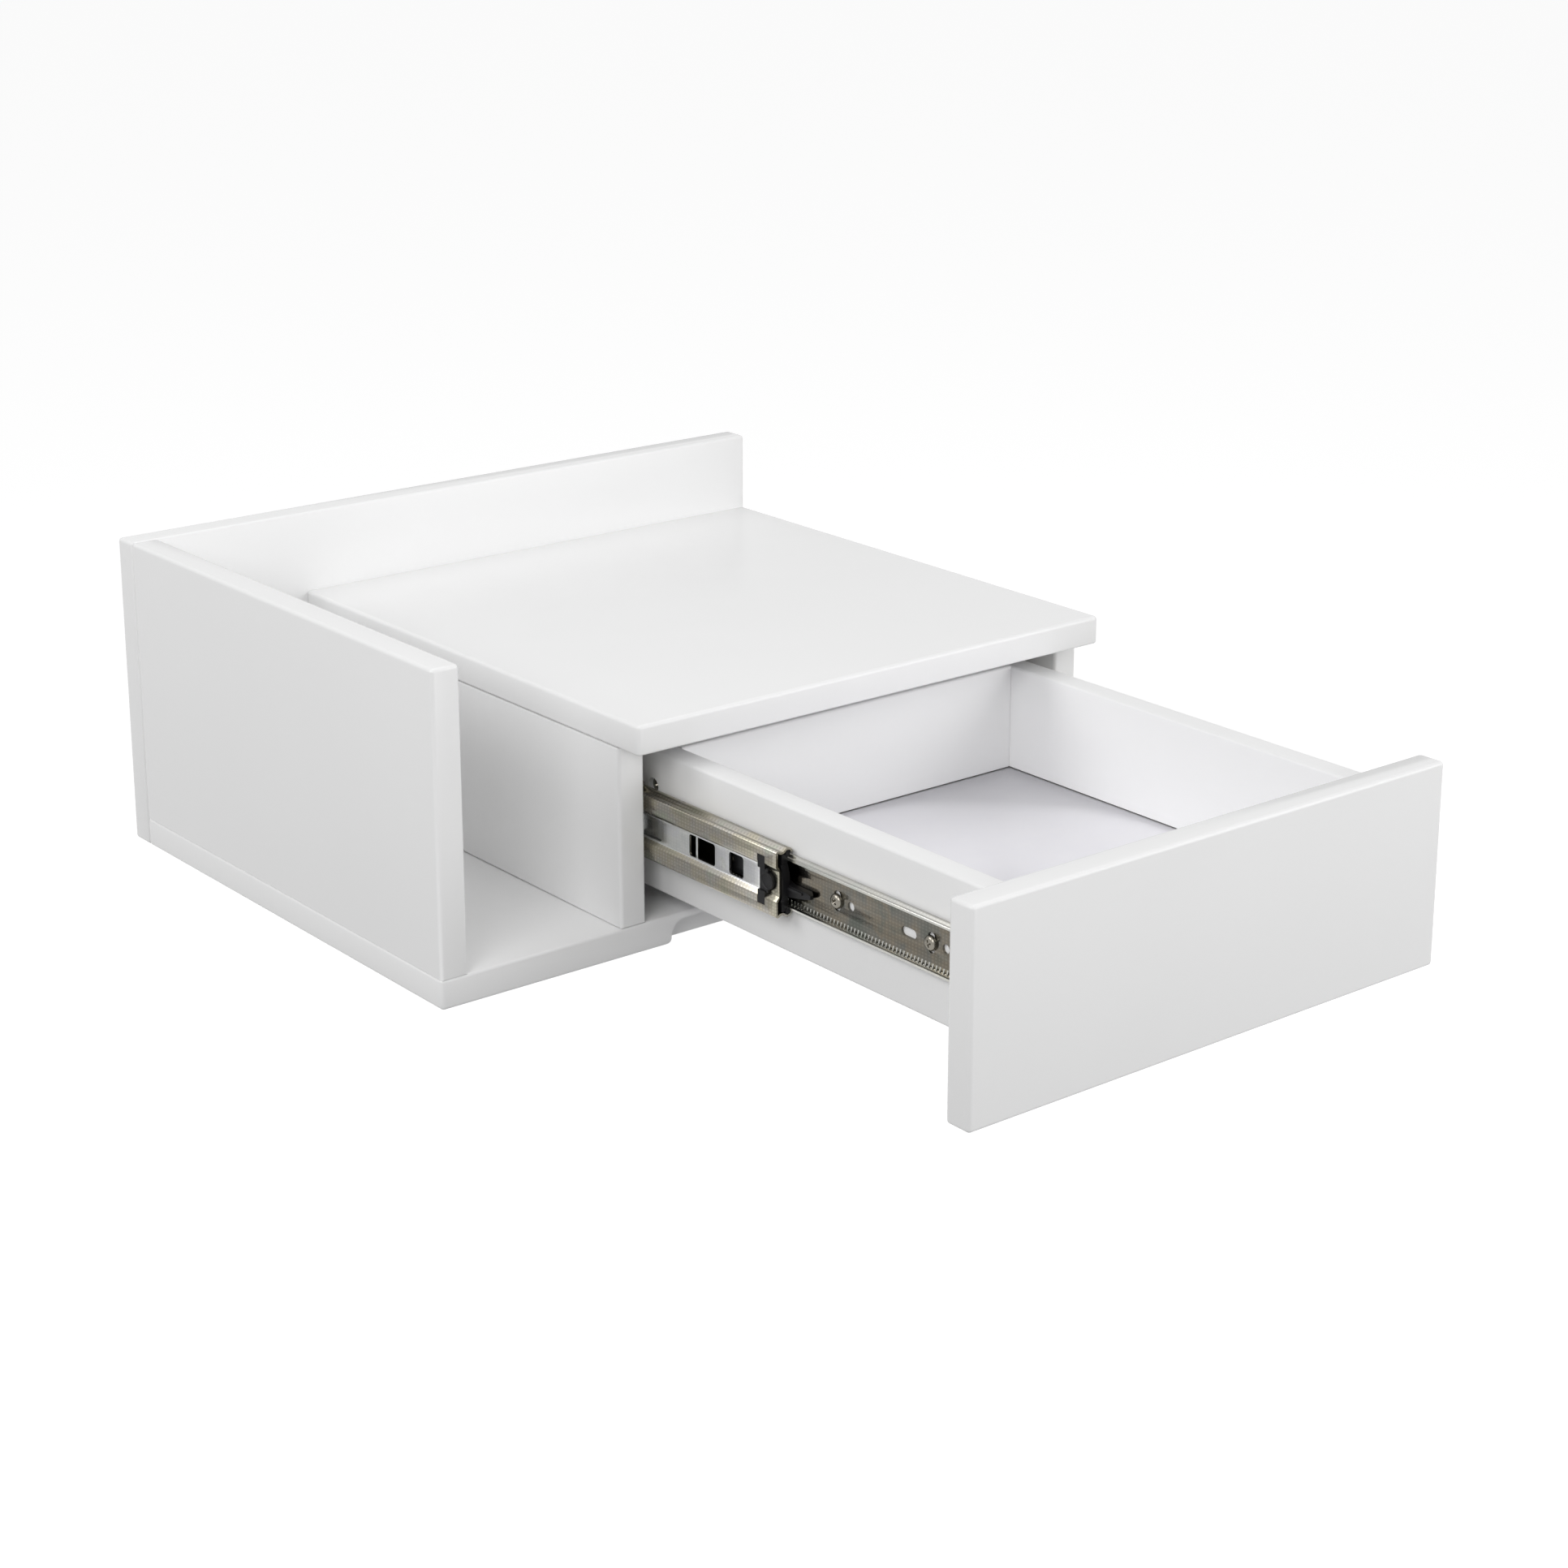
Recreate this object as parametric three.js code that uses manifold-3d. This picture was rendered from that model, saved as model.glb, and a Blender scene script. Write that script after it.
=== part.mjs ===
// Floating nightstand: a wall-hung box with an open slot for magazines on its
// left and one drawer on two ball-bearing runners on its right. Millimetres.
// X runs to the right, Y towards the wall and Z up. The origin is the centre of
// the back panel's wall face. The drawer stands open by drawerPull.
import * as THREE from 'three';
import { RoundedBoxGeometry } from 'three/addons/geometries/RoundedBoxGeometry.js';
import { mergeVertices } from 'three/addons/utils/BufferGeometryUtils.js';
import Module from 'manifold-3d';

const wasm = await Module();
wasm.setup();

// Working values of the modelling itself
const overrun = 1; // how far a cut runs past the face that it opens
const weldDistance = 1e-4; // vertices closer than this are one
const degree = Math.PI / 180;
const edgeSteps = 1; // facets in each half of a board's rounded edge
const arcSteps = 4; // facets in a bend or a rounded corner
const ballSides = 6;
const ballRings = 4;
const roundSides = 12; // facets round a screw head that shows
const hiddenSides = 10; // facets round a hidden screw or dowel

// The carcass and its lacquered boards
const overallWidth = 400;
const overallHeight = 165;
const boardThickness = 15;
const backThickness = 15;
const slotWidth = 87; // clear width of the magazine slot
const bayHeight = 91.5; // clear height of the drawer bay
const edgeRadius = 2; // free edges of the boards

// The finger recess under the drawer front
const recessInset = 15; // from each side of the drawer bay
const recessDepth = 9;
const recessHeight = 12;
const recessLipRadius = 3.5; // where its ends run out through the underside
const recessCornerRadius = 8; // its two upper corners

// The drawer
const frontThickness = 15;
const frontTopGap = 3.5; // under the top board
const frontRearGap = 1; // between the closed front and the carcass
const drawerPull = 233; // how far the drawer stands open here
const drawerBoard = 13; // thickness of its sides and back
const sideOverhang = 5; // how far its sides run past its back
const drawerHeight = 71.5;
const drawerLift = 10.5; // from the bottom board to the drawer's sides
const drawerEdgeRadius = 1.5;
const floorThickness = 3;
const floorHeight = 12.5; // from the sides' lower edges to the floor's underside
const grooveDepth = 6; // how deep the floor's groove runs into each board
const grooveTopGap = 0.7; // open above the floor in its groove
const seatGap = 0.3; // round every piece that sits in a hole or a groove

// The ball-bearing runners, three telescoping rails on each side
const runnerGap = 13.5; // from the cabinet's board to the drawer's side
const runnerHeight = 37; // the rails' centre line above the sides' lower edges
const railLength = 250; // the drawer rail
const drawerRailSetback = 1; // its front end behind the carcass front, closed
const cabinetRailSetback = 13; // its front end behind the carcass front
const railRearGap = 34; // from the cabinet rail's rear end to the back panel
const railSheet = 1.2; // cabinet rail and drawer rail
const middleSheet = 1.1; // middle rail
const runningGap = 0.3; // between steel pieces that pass each other
const middleHeight = 34; // over the middle rail's two bands
const middleShortfall = 30; // how much shorter the middle rail is than the drawer rail
const middleSetback = 19.5; // the closed middle rail's front end behind the front
const webRecess = 2; // how deep the middle rail's web lies behind its bands
const webHalfHeight = 6.3; // half of the web between its two steps
const stepHeight = 2.2; // each step's height, from the web to its band
const outerBallRadius = 1.9; // balls between the cabinet rail and the middle rail
const innerBallRadius = 1.5; // balls between the middle rail and the drawer rail
const outerCageSheet = 0.6;
const innerCageSheet = 0.5;
const outerBallInset = 5.9; // from the cabinet's board to the outer balls' centres
const innerBallDrop = 3.6; // inner balls' centres below the outer balls' centres
const railBendRadius = 0.7; // the tight bends at the middle rail's bands
const outerCageLength = 100;
const outerCageSetback = 76; // its front end behind the carcass front, closed
const innerCageLength = 88;
const innerCageSetback = 96;
const cageBallCount = 4; // balls along each of a cage's two arms
const cageBarLength = 10; // the outer cage's rear bar
const innerCageNotch = 45; // how far the inner cage's web is open from its front
const cageNotchHalfHeight = 7.5;
const cageArmReach = 1.2; // how far a cage's arm runs past the balls' centres

// Openings in the rails
const screwSlotLength = 10;
const screwSlotWidth = 4.5;
const roundHoleRadius = 2.25;
const firstScrew = 39; // from the drawer rail's front end
const lastScrewInset = 19; // from the drawer rail's rear end
const screwCount = 4; // places along the drawer rail, of which the third stays solid
const roundHoleLead = 9.5; // each round hole lies this far ahead of its slot
const levelSlot = 54; // the level slot, from the drawer rail's front end
const cabinetFirstScrew = 25; // from the cabinet rail's front end
const cabinetLastScrew = 21; // from the cabinet rail's rear end
const windowHeight = 10.8;
const squareWindowStart = 26.5; // from the middle rail's front end
const squareWindowLength = 10.8;
const longWindowStart = 48;
const longWindowLength = 20;
const lastWindowInset = 26; // from the middle rail's rear end
const longWindowCount = 4;
const windowCornerRadius = 1.5;

// The black stop that is clipped into the middle rail's front end
const stopBarStart = 6.9; // from the middle rail's front end
const stopBarLength = 5.9;
const stopBarProud = 1.2; // how far the bar stands out from the web
const stopTabStart = 8.4;
const stopTabLength = 5.1;
const stopTabOuter = 11.7; // each tab's far end, above the centre line
const stopBossRadius = 4.1;
const stopBossStart = 7; // the boss's centre
const stopBodyLength = 13;
const stopNoseReach = 4; // how far its curved nose stands out of the rail
const stopNoseHalfHeight = 9;
const stopHoleHalfHeight = 6.2;

// The release lever on the drawer rail
const leverTipGap = 11.5; // from the rail's second screw to the lever's tip
const leverReach = 61.5; // from the pivot to the lever's tip
const leverThickness = 3.6;
const leverPivotRadius = 5; // the lever's round rear end
const rivetRadius = 2.2;
const rivetHeadRadius = 2.8;
const rivetHeadHeight = 0.7;
const leverNeck = 26; // from the pivot to the start of the tongue
const leverTongue = 18; // from the neck to the tongue's bend
const leverTipRadius = 1.2;
const leverDrop = 3.2; // how far the tongue hangs below the pivot

// Screws and dowels
const railScrew = { head: 3.6, headHeight: 2.2, shank: 1.75, length: 10, tip: 3 };
const cabinetScrew = { head: 3.4, headHeight: 2, shank: 1.75, length: 12, tip: 3 };
const boxScrew = { head: 3.5, headHeight: 3, shank: 2, length: 38, tip: 5 };
const boardScrew = { head: 4.75, headHeight: 4, shank: 3.2, length: 48, tip: 6 };
const plateScrew = { head: 3.2, headHeight: 1.6, shank: 1.6, length: 12, tip: 3 };
const boxScrewSink = 1; // its head lies this far below the side's face
const boxScrewOffset = 16.3; // above and below the runner's centre line
const headTopShare = 0.7; // a pan head's flat top, as a share of its radius
const crossLength = 4.2; // cross recess in a screw's head
const crossWidth = 0.9;
const crossDepth = 1.3;
const boardScrewInset = 60; // from a board's front or rear end to its screw
const backScrewShare = 0.6; // height of the rear screws, as a share of the bay
const dowelRadius = 4;
const dowelLength = 30;
const dowelInTop = 10; // the part of a dowel that is in the top board
const boxDowelRadius = 3;
const boxDowelInFront = 9; // the part of a dowel that is in the drawer front
const boxDowelHeights = [25, 58]; // above the sides' lower edges
const dowelChamfer = 1;

// Hanger plates, let into the back panel's wall face
const plateWidth = 18;
const plateHeight = 44;
const plateThickness = 1.5;
const plateCornerRadius = 3;
const plateInset = 60; // from each end of the back panel to its centre
const plateDrop = 35; // from the back panel's top edge to its centre
const plateScrewOffset = 17; // above and below the plate's centre
const keyholeRadius = 4.5;
const keyholeSlotWidth = 4.6;
const keyholeRise = 9; // from the round hole's centre to the slot's end
const headPocketWidth = 12;
const headPocketHeight = 25;
const headPocketDepth = 8;

// Angles, in degrees
const lipEndAngle = 10; // where the middle rail's lip ends, round the inner balls
const cabinetLipAngle = 5; // where the cabinet rail's lip ends, round the outer balls
const railFootAngle = 280; // the drawer rail's arc under the inner balls
const railEdgeAngle = 210;

// Faces of the carcass
const left = -overallWidth / 2;
const right = overallWidth / 2;
const low = -overallHeight / 2;
const high = overallHeight / 2;
const backFace = -backThickness; // front face of the back panel
const carcassFront = backFace - railRearGap - railLength - drawerRailSetback;
const floorTop = low + boardThickness; // upper face of the bottom panel
const topUnderside = floorTop + bayHeight;
const topSurface = topUnderside + boardThickness;
const dividerLeft = left + boardThickness + slotWidth;
const dividerRight = dividerLeft + boardThickness;
const bayRight = right - boardThickness;
const topFront = carcassFront - frontRearGap - frontThickness;

// Faces of the drawer as it stands here
const boxFront = carcassFront - frontRearGap - drawerPull;
const cabinetRailFront = carcassFront + cabinetRailSetback;
const drawerRailFront = carcassFront + drawerRailSetback - drawerPull;
const boxRear = drawerRailFront + railLength;
const boxSideRear = boxRear + sideOverhang;
const boxLow = floorTop + drawerLift;
const boxHigh = boxLow + drawerHeight;
const boxLeft = dividerRight + runnerGap;
const boxRight = bayRight - runnerGap;
const floorUnder = boxLow + floorHeight;
const runnerLevel = boxLow + runnerHeight;

const lacquer = new THREE.MeshStandardMaterial({ color: 0xececea, roughness: 0.35, metalness: 0 });
const drawerLacquer = new THREE.MeshStandardMaterial({ color: 0xf0f0ee, roughness: 0.5, metalness: 0 });
const floorSheet = new THREE.MeshStandardMaterial({ color: 0xe4e4ea, roughness: 0.3, metalness: 0 });
const zincSteel = new THREE.MeshStandardMaterial({ color: 0xa9a897, roughness: 0.35, metalness: 1 });
const blackPlastic = new THREE.MeshStandardMaterial({ color: 0x1c1c1f, roughness: 0.5, metalness: 0 });
const nickelSteel = new THREE.MeshStandardMaterial({ color: 0xb9b6aa, roughness: 0.3, metalness: 1 });
const beech = new THREE.MeshStandardMaterial({ color: 0xcda777, roughness: 0.7, metalness: 0 });

// Turns a closed geometry into a solid that can be cut and joined.
function solidFrom(geometry) {
  geometry.deleteAttribute('normal');
  geometry.deleteAttribute('uv');
  const merged = mergeVertices(geometry, weldDistance);
  const vertProperties = merged.attributes.position.array;
  const triVerts = new Uint32Array(merged.index.array);
  return new wasm.Manifold(new wasm.Mesh({ numProp: 3, vertProperties, triVerts }));
}

// Turns a solid back into a named mesh.
function meshFrom(name, solid, material) {
  const made = solid.getMesh();
  const geometry = new THREE.BufferGeometry();
  geometry.setAttribute('position', new THREE.BufferAttribute(made.vertProperties, 3));
  geometry.setIndex(new THREE.BufferAttribute(made.triVerts, 1));
  geometry.computeVertexNormals();
  const mesh = new THREE.Mesh(geometry, material.clone());
  mesh.name = name;
  return mesh;
}

// A plain box between two values on each axis.
function boxBetween(x, y, z) {
  const geometry = new THREE.BoxGeometry(x[1] - x[0], y[1] - y[0], z[1] - z[0]);
  geometry.translate((x[0] + x[1]) / 2, (y[0] + y[1]) / 2, (z[0] + z[1]) / 2);
  return solidFrom(snapped(geometry, [x, y, z]));
}

// Puts the outermost vertices exactly on the stated faces, so that boards meet face to face.
function snapped(geometry, ranges) {
  const position = geometry.attributes.position;
  for (let i = 0; i < position.count; i += 1) {
    ranges.forEach((range, axis) => {
      range.forEach((value) => {
        const near = Math.abs(position.getComponent(i, axis) - value) < weldDistance;
        if (near) position.setComponent(i, axis, value);
      });
    });
  }
  return geometry;
}

// A board with rounded edges. Ends that butt against another board stay sharp:
// there the rounded blank runs on by its radius twice, and is cut off.
function board(x, y, z, radius, butts = {}) {
  const blank = [x, y, z].map((range, axis) => {
    const [lowEnd, highEnd] = butts['xyz'[axis]] ?? [false, false];
    const before = lowEnd ? range[0] - radius * 2 : range[0];
    const after = highEnd ? range[1] + radius * 2 : range[1];
    return [before, after];
  });
  const sizes = blank.map((range) => range[1] - range[0]);
  const centre = blank.map((range) => (range[0] + range[1]) / 2);
  const rounded = new RoundedBoxGeometry(...sizes, edgeSteps, radius);
  rounded.translate(...centre);
  const solid = solidFrom(snapped(rounded, blank));
  return solid.intersect(boxBetween(x, y, z));
}

// Points on an arc, from one angle in degrees to another.
function arcPoints(centre, radius, from, to, steps = arcSteps) {
  const points = [];
  for (let i = 0; i <= steps; i += 1) {
    const angle = (from + ((to - from) * i) / steps) * degree;
    const across = centre.x + radius * Math.cos(angle);
    const up = centre.y + radius * Math.sin(angle);
    points.push(new THREE.Vector2(across, up));
  }
  return points;
}

// The direction from one centre to another, in degrees.
function directionTo(from, to) {
  return Math.atan2(to.y - from.y, to.x - from.x) / degree;
}

// A rectangle with rounded corners, round a centre.
function roundedOutline(centre, width, height, radius) {
  const x = width / 2 - radius;
  const y = height / 2 - radius;
  const corners = [[x, y, 0], [-x, y, 90], [-x, -y, 180], [x, -y, 270]];
  return corners.flatMap(([dx, dy, from]) => {
    const corner = new THREE.Vector2(centre.x + dx, centre.y + dy);
    return arcPoints(corner, radius, from, from + 90);
  });
}

function discOutline(centre, radius, sides) {
  return arcPoints(centre, radius, 0, 360, sides).slice(1);
}

// Extrusions of an outline along each axis. The outline's own axes are the
// two others: Y and Z along X, and X and Z along Y.
function extrudeAlongX(outline, from, to) {
  const shape = new THREE.Shape(outline);
  const geometry = new THREE.ExtrudeGeometry(shape, { depth: to - from, bevelEnabled: false });
  const turn = new THREE.Matrix4().makeBasis(
    new THREE.Vector3(0, 1, 0),
    new THREE.Vector3(0, 0, 1),
    new THREE.Vector3(1, 0, 0),
  );
  geometry.applyMatrix4(turn);
  geometry.translate(from, 0, 0);
  return solidFrom(geometry);
}

function extrudeAlongY(outline, from, to) {
  const shape = new THREE.Shape(outline);
  const geometry = new THREE.ExtrudeGeometry(shape, { depth: to - from, bevelEnabled: false });
  const turn = new THREE.Matrix4().makeBasis(
    new THREE.Vector3(1, 0, 0),
    new THREE.Vector3(0, 0, 1),
    new THREE.Vector3(0, -1, 0),
  );
  geometry.applyMatrix4(turn);
  geometry.translate(0, to, 0);
  return solidFrom(geometry);
}

// A turned solid. The profile holds radius and height, from the lower end of
// the axis to the upper; the axis starts at a point and runs along a direction.
function turned(profile, point, direction, sides) {
  const points = profile.map(([radius, height]) => new THREE.Vector2(radius, height));
  const geometry = new THREE.LatheGeometry(points, sides);
  const upright = new THREE.Vector3(0, 1, 0);
  geometry.applyQuaternion(new THREE.Quaternion().setFromUnitVectors(upright, direction));
  geometry.translate(point.x, point.y, point.z);
  return solidFrom(geometry);
}

const towardRight = new THREE.Vector3(1, 0, 0);
const towardLeft = new THREE.Vector3(-1, 0, 0);
const towardWall = new THREE.Vector3(0, 1, 0);
const upward = new THREE.Vector3(0, 0, 1);
const downward = new THREE.Vector3(0, 0, -1);

// The outline of a bent strip of sheet, from its centre line.
function stripOutline(line, thickness) {
  const near = [];
  const far = [];
  const last = line.length - 1;
  line.forEach((point, i) => {
    const before = Math.max(i, 1);
    const after = Math.min(i, last - 1);
    const into = line[before].clone().sub(line[before - 1]).normalize();
    const out = line[after + 1].clone().sub(line[after]).normalize();
    const along = into.clone().add(out).normalize();
    const across = new THREE.Vector2(-along.y, along.x);
    const reach = thickness / 2 / along.dot(into);
    near.push(point.clone().addScaledVector(across, reach));
    far.push(point.clone().addScaledVector(across, -reach));
  });
  return [...near, ...far.reverse()];
}

// A line and its mirror image below it, as one line.
function mirroredLine(upper) {
  const lower = upper.map((point) => new THREE.Vector2(point.x, -point.y));
  return [...lower.reverse(), ...upper];
}

// Screws. Height 0 is the plane that the head sits on, or for a flat head the
// surface that it is flush with. Grow widens the shape into a hole for it.
function panProfile(screw, grow) {
  const shank = screw.shank + grow;
  return [
    [0, -screw.length - grow],
    [shank, -screw.length - grow + screw.tip],
    [shank, 0],
    [screw.head, 0],
    [screw.head, screw.headHeight / 2],
    [screw.head * headTopShare, screw.headHeight],
    [0, screw.headHeight],
  ];
}

function flatProfile(screw, grow) {
  const shank = screw.shank + grow;
  return [
    [0, -screw.length - grow],
    [shank, -screw.length - grow + screw.tip],
    [shank, -screw.headHeight - grow],
    [screw.head + grow, -grow],
    [screw.head + grow, 0],
    [0, 0],
  ];
}

function flatHole(screw, point, direction, sink = 0) {
  const hole = turned(flatProfile(screw, seatGap), point, direction, hiddenSides);
  const mouth = [[0, -seatGap], [screw.head + seatGap, -seatGap]];
  mouth.push([screw.head + seatGap, sink + overrun], [0, sink + overrun]);
  return hole.add(turned(mouth, point, direction, hiddenSides));
}

function shankHole(screw, point, direction) {
  const radius = screw.shank + seatGap;
  const depth = screw.length + seatGap;
  const profile = [[0, -depth], [radius, -depth], [radius, overrun], [0, overrun]];
  return turned(profile, point, direction, hiddenSides);
}

// A cross recess, cut down into a head from its top.
function crossRecess(top, direction) {
  const along = new THREE.Vector3(0, 1, 0);
  const turn = new THREE.Quaternion().setFromUnitVectors(along, direction);
  const bars = [[crossLength, crossWidth], [crossWidth, crossLength]].map(([a, b]) => {
    const geometry = new THREE.BoxGeometry(a, crossDepth * 2, b);
    geometry.applyQuaternion(turn);
    geometry.translate(top.x, top.y, top.z);
    return solidFrom(geometry);
  });
  return bars[0].add(bars[1]);
}

function panScrew(name, screw, point, direction) {
  const top = point.clone().addScaledVector(direction, screw.headHeight);
  const solid = turned(panProfile(screw, 0), point, direction, roundSides);
  return meshFrom(name, solid.subtract(crossRecess(top, direction)), nickelSteel);
}

function flatScrew(name, screw, point, direction) {
  const solid = turned(flatProfile(screw, 0), point, direction, hiddenSides);
  return meshFrom(name, solid.subtract(crossRecess(point, direction)), nickelSteel);
}

// A dowel with chamfered ends, its centre plane at the joint shifted by its share.
function dowelProfile(radius, length, grow) {
  const half = length / 2 + grow;
  const tip = radius - dowelChamfer;
  return [
    [0, -half],
    [tip + grow, -half],
    [radius + grow, dowelChamfer - half],
    [radius + grow, half - dowelChamfer],
    [tip + grow, half],
    [0, half],
  ];
}

function dowelHole(radius, length, centre, direction) {
  return turned(dowelProfile(radius, length, seatGap), centre, direction, hiddenSides);
}

function dowel(name, radius, length, centre, direction) {
  const solid = turned(dowelProfile(radius, length, 0), centre, direction, hiddenSides);
  return meshFrom(name, solid, beech);
}

// The carcass's boards in front of the back panel: where each one lies, and
// the ends at which it butts against another board
const toWall = [carcassFront, backFace];
const toBack = [false, true];
const boards = {
  leftSide: {
    ranges: { x: [left, left + boardThickness], y: toWall, z: [floorTop, high] },
    butts: { y: toBack, z: [true, false] },
  },
  divider: {
    ranges: { x: [dividerLeft, dividerRight], y: toWall, z: [floorTop, topUnderside] },
    butts: { y: toBack, z: [true, true] },
  },
  rightSide: {
    ranges: { x: [bayRight, right], y: toWall, z: [floorTop, topUnderside] },
    butts: { y: toBack, z: [true, true] },
  },
  bottom: {
    ranges: { x: [left, right], y: toWall, z: [low, floorTop] },
    butts: { y: toBack },
  },
  top: {
    ranges: { x: [dividerLeft, right], y: [topFront, backFace], z: [topUnderside, topSurface] },
    butts: { y: toBack },
  },
};

function placedBoard({ ranges, butts }) {
  return board(ranges.x, ranges.y, ranges.z, edgeRadius, butts);
}

// The land on which a board butts: its own section run on into the other
// board, so that the rounded edges of the two don't leave a furrow between them.
function land({ ranges, butts }, axis, range) {
  const ends = { ...butts, [axis]: [true, true] };
  return placedBoard({ ranges: { ...ranges, [axis]: range }, butts: ends });
}

function withLands(solid, carried, axis, range) {
  return carried.reduce((whole, spec) => whole.add(land(spec, axis, range)), solid);
}

// Places of the carcass's screws and dowels, named for the board that stands there
const standing = [
  ['left_side', left + boardThickness / 2],
  ['divider', dividerLeft + boardThickness / 2],
  ['right_side', right - boardThickness / 2],
];
const screwRows = [carcassFront + boardScrewInset, backFace - boardScrewInset];
const backScrewLevel = floorTop + bayHeight * backScrewShare;
const dowelCentreLevel = topUnderside + dowelInTop - dowelLength / 2;

function baseScrewPoints(x) {
  return screwRows.map((y) => new THREE.Vector3(x, y, low));
}

function backScrewPoint(x) {
  return new THREE.Vector3(x, 0, backScrewLevel);
}

function topDowelPoints(x) {
  return screwRows.map((y) => new THREE.Vector3(x, y, dowelCentreLevel));
}

// Removes from a board every hole that its screws and dowels need.
function drilled(solid, holes) {
  return holes.reduce((rest, hole) => rest.subtract(hole), solid);
}

function baseScrewHoles(x) {
  return baseScrewPoints(x).map((point) => flatHole(boardScrew, point, downward));
}

function backScrewHole(x) {
  return flatHole(boardScrew, backScrewPoint(x), towardWall);
}

function topDowelHoles(x) {
  return topDowelPoints(x).map((point) => dowelHole(dowelRadius, dowelLength, point, upward));
}

function leftSidePanel() {
  const centre = standing[0][1];
  const holes = [...baseScrewHoles(centre), backScrewHole(centre)];
  return meshFrom('left_side_panel', drilled(placedBoard(boards.leftSide), holes), lacquer);
}

// The divider and the right side stand between the bottom and the top.
function bayPanel(name, spec, centre, runnerHoles) {
  const holes = [...baseScrewHoles(centre), backScrewHole(centre), ...topDowelHoles(centre)];
  return meshFrom(name, drilled(placedBoard(spec), [...holes, ...runnerHoles]), lacquer);
}

// The finger recess, open to the front and through the underside.
function recessCut() {
  const start = dividerRight + recessInset;
  const end = bayRight - recessInset;
  const top = low + recessHeight - recessCornerRadius;
  const lipLevel = low + recessLipRadius;
  const leftLip = new THREE.Vector2(start - recessLipRadius, lipLevel);
  const leftCorner = new THREE.Vector2(start + recessCornerRadius, top);
  const rightCorner = new THREE.Vector2(end - recessCornerRadius, top);
  const rightLip = new THREE.Vector2(end + recessLipRadius, lipLevel);
  const outline = [
    new THREE.Vector2(leftLip.x, low - overrun),
    ...arcPoints(leftLip, recessLipRadius, -90, 0),
    ...arcPoints(leftCorner, recessCornerRadius, 180, 90),
    ...arcPoints(rightCorner, recessCornerRadius, 90, 0),
    ...arcPoints(rightLip, recessLipRadius, 180, 270),
    new THREE.Vector2(rightLip.x, low - overrun),
  ];
  return extrudeAlongY(outline, carcassFront - overrun, carcassFront + recessDepth);
}

function bottomPanel() {
  const carried = [boards.leftSide, boards.divider, boards.rightSide];
  const lands = [low + edgeRadius, floorTop];
  const solid = withLands(placedBoard(boards.bottom), carried, 'z', lands);
  const holes = standing.flatMap(([, x]) => baseScrewHoles(x));
  return meshFrom('bottom_panel', drilled(solid.subtract(recessCut()), holes), lacquer);
}

function topPanel() {
  const carrying = [boards.divider, boards.rightSide];
  const lands = [topUnderside, topSurface - edgeRadius];
  const solid = withLands(placedBoard(boards.top), carrying, 'z', lands);
  const holes = standing.slice(1).flatMap(([, x]) => topDowelHoles(x));
  return meshFrom('top_panel', drilled(solid, holes), lacquer);
}

// Hanger plates: a steel plate with a keyhole, flush with the wall face over a
// pocket for the wall screw's head
const plateLevel = high - plateDrop;
const plateCentres = [
  ['left', left + plateInset],
  ['right', right - plateInset],
];

function plateBox(x, grow) {
  const centre = new THREE.Vector2(x, plateLevel);
  const width = plateWidth + grow * 2;
  const height = plateHeight + grow * 2;
  return roundedOutline(centre, width, height, plateCornerRadius + grow);
}

function platePocket(x) {
  const shallow = extrudeAlongY(plateBox(x, seatGap), -plateThickness, overrun);
  const centre = new THREE.Vector2(x, plateLevel);
  const radius = headPocketWidth / 2;
  const outline = roundedOutline(centre, headPocketWidth, headPocketHeight, radius);
  return shallow.add(extrudeAlongY(outline, -headPocketDepth, overrun));
}

function plateScrewPoints(x) {
  return [1, -1].map((turn) => new THREE.Vector3(x, 0, plateLevel + turn * plateScrewOffset));
}

function keyhole(x) {
  const holeCentre = new THREE.Vector2(x, plateLevel - keyholeRise / 2);
  const slotCentre = new THREE.Vector2(x, plateLevel);
  const round = discOutline(holeCentre, keyholeRadius, roundSides);
  const slotHeight = keyholeRise + keyholeSlotWidth;
  const slot = roundedOutline(slotCentre, keyholeSlotWidth, slotHeight, keyholeSlotWidth / 2);
  const from = -plateThickness - overrun;
  return extrudeAlongY(round, from, overrun).add(extrudeAlongY(slot, from, overrun));
}

function hangerPlate(side, x) {
  const plate = extrudeAlongY(plateBox(x, 0), -plateThickness, 0).subtract(keyhole(x));
  const holes = plateScrewPoints(x).map((point) => flatHole(plateScrew, point, towardWall));
  return meshFrom(`${side}_hanger_plate`, drilled(plate, holes), zincSteel);
}

function backPanel() {
  const blank = board([left, right], [backFace, 0], [low, high], edgeRadius);
  const solid = withLands(blank, Object.values(boards), 'y', [backFace, -edgeRadius]);
  const screws = standing.map(([, x]) => backScrewHole(x));
  const pockets = plateCentres.map(([, x]) => platePocket(x));
  const pilots = plateCentres.flatMap(([, x]) =>
    plateScrewPoints(x).map((point) => shankHole(plateScrew, point, towardWall)),
  );
  return meshFrom('back_panel', drilled(solid, [...screws, ...pockets, ...pilots]), lacquer);
}

// The drawer box
function floorGroove() {
  const x = [boxLeft + drawerBoard - grooveDepth, boxRight - drawerBoard + grooveDepth];
  const y = [boxFront - grooveDepth, boxRear - drawerBoard + grooveDepth];
  return boxBetween(x, y, [floorUnder, floorUnder + floorThickness + grooveTopGap]);
}

function drawerBottom() {
  const inset = grooveDepth - seatGap;
  const x = [boxLeft + drawerBoard - inset, boxRight - drawerBoard + inset];
  const y = [boxFront - inset, boxRear - drawerBoard + inset];
  const solid = boxBetween(x, y, [floorUnder, floorUnder + floorThickness]);
  return meshFrom('drawer_bottom', solid, floorSheet);
}

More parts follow.
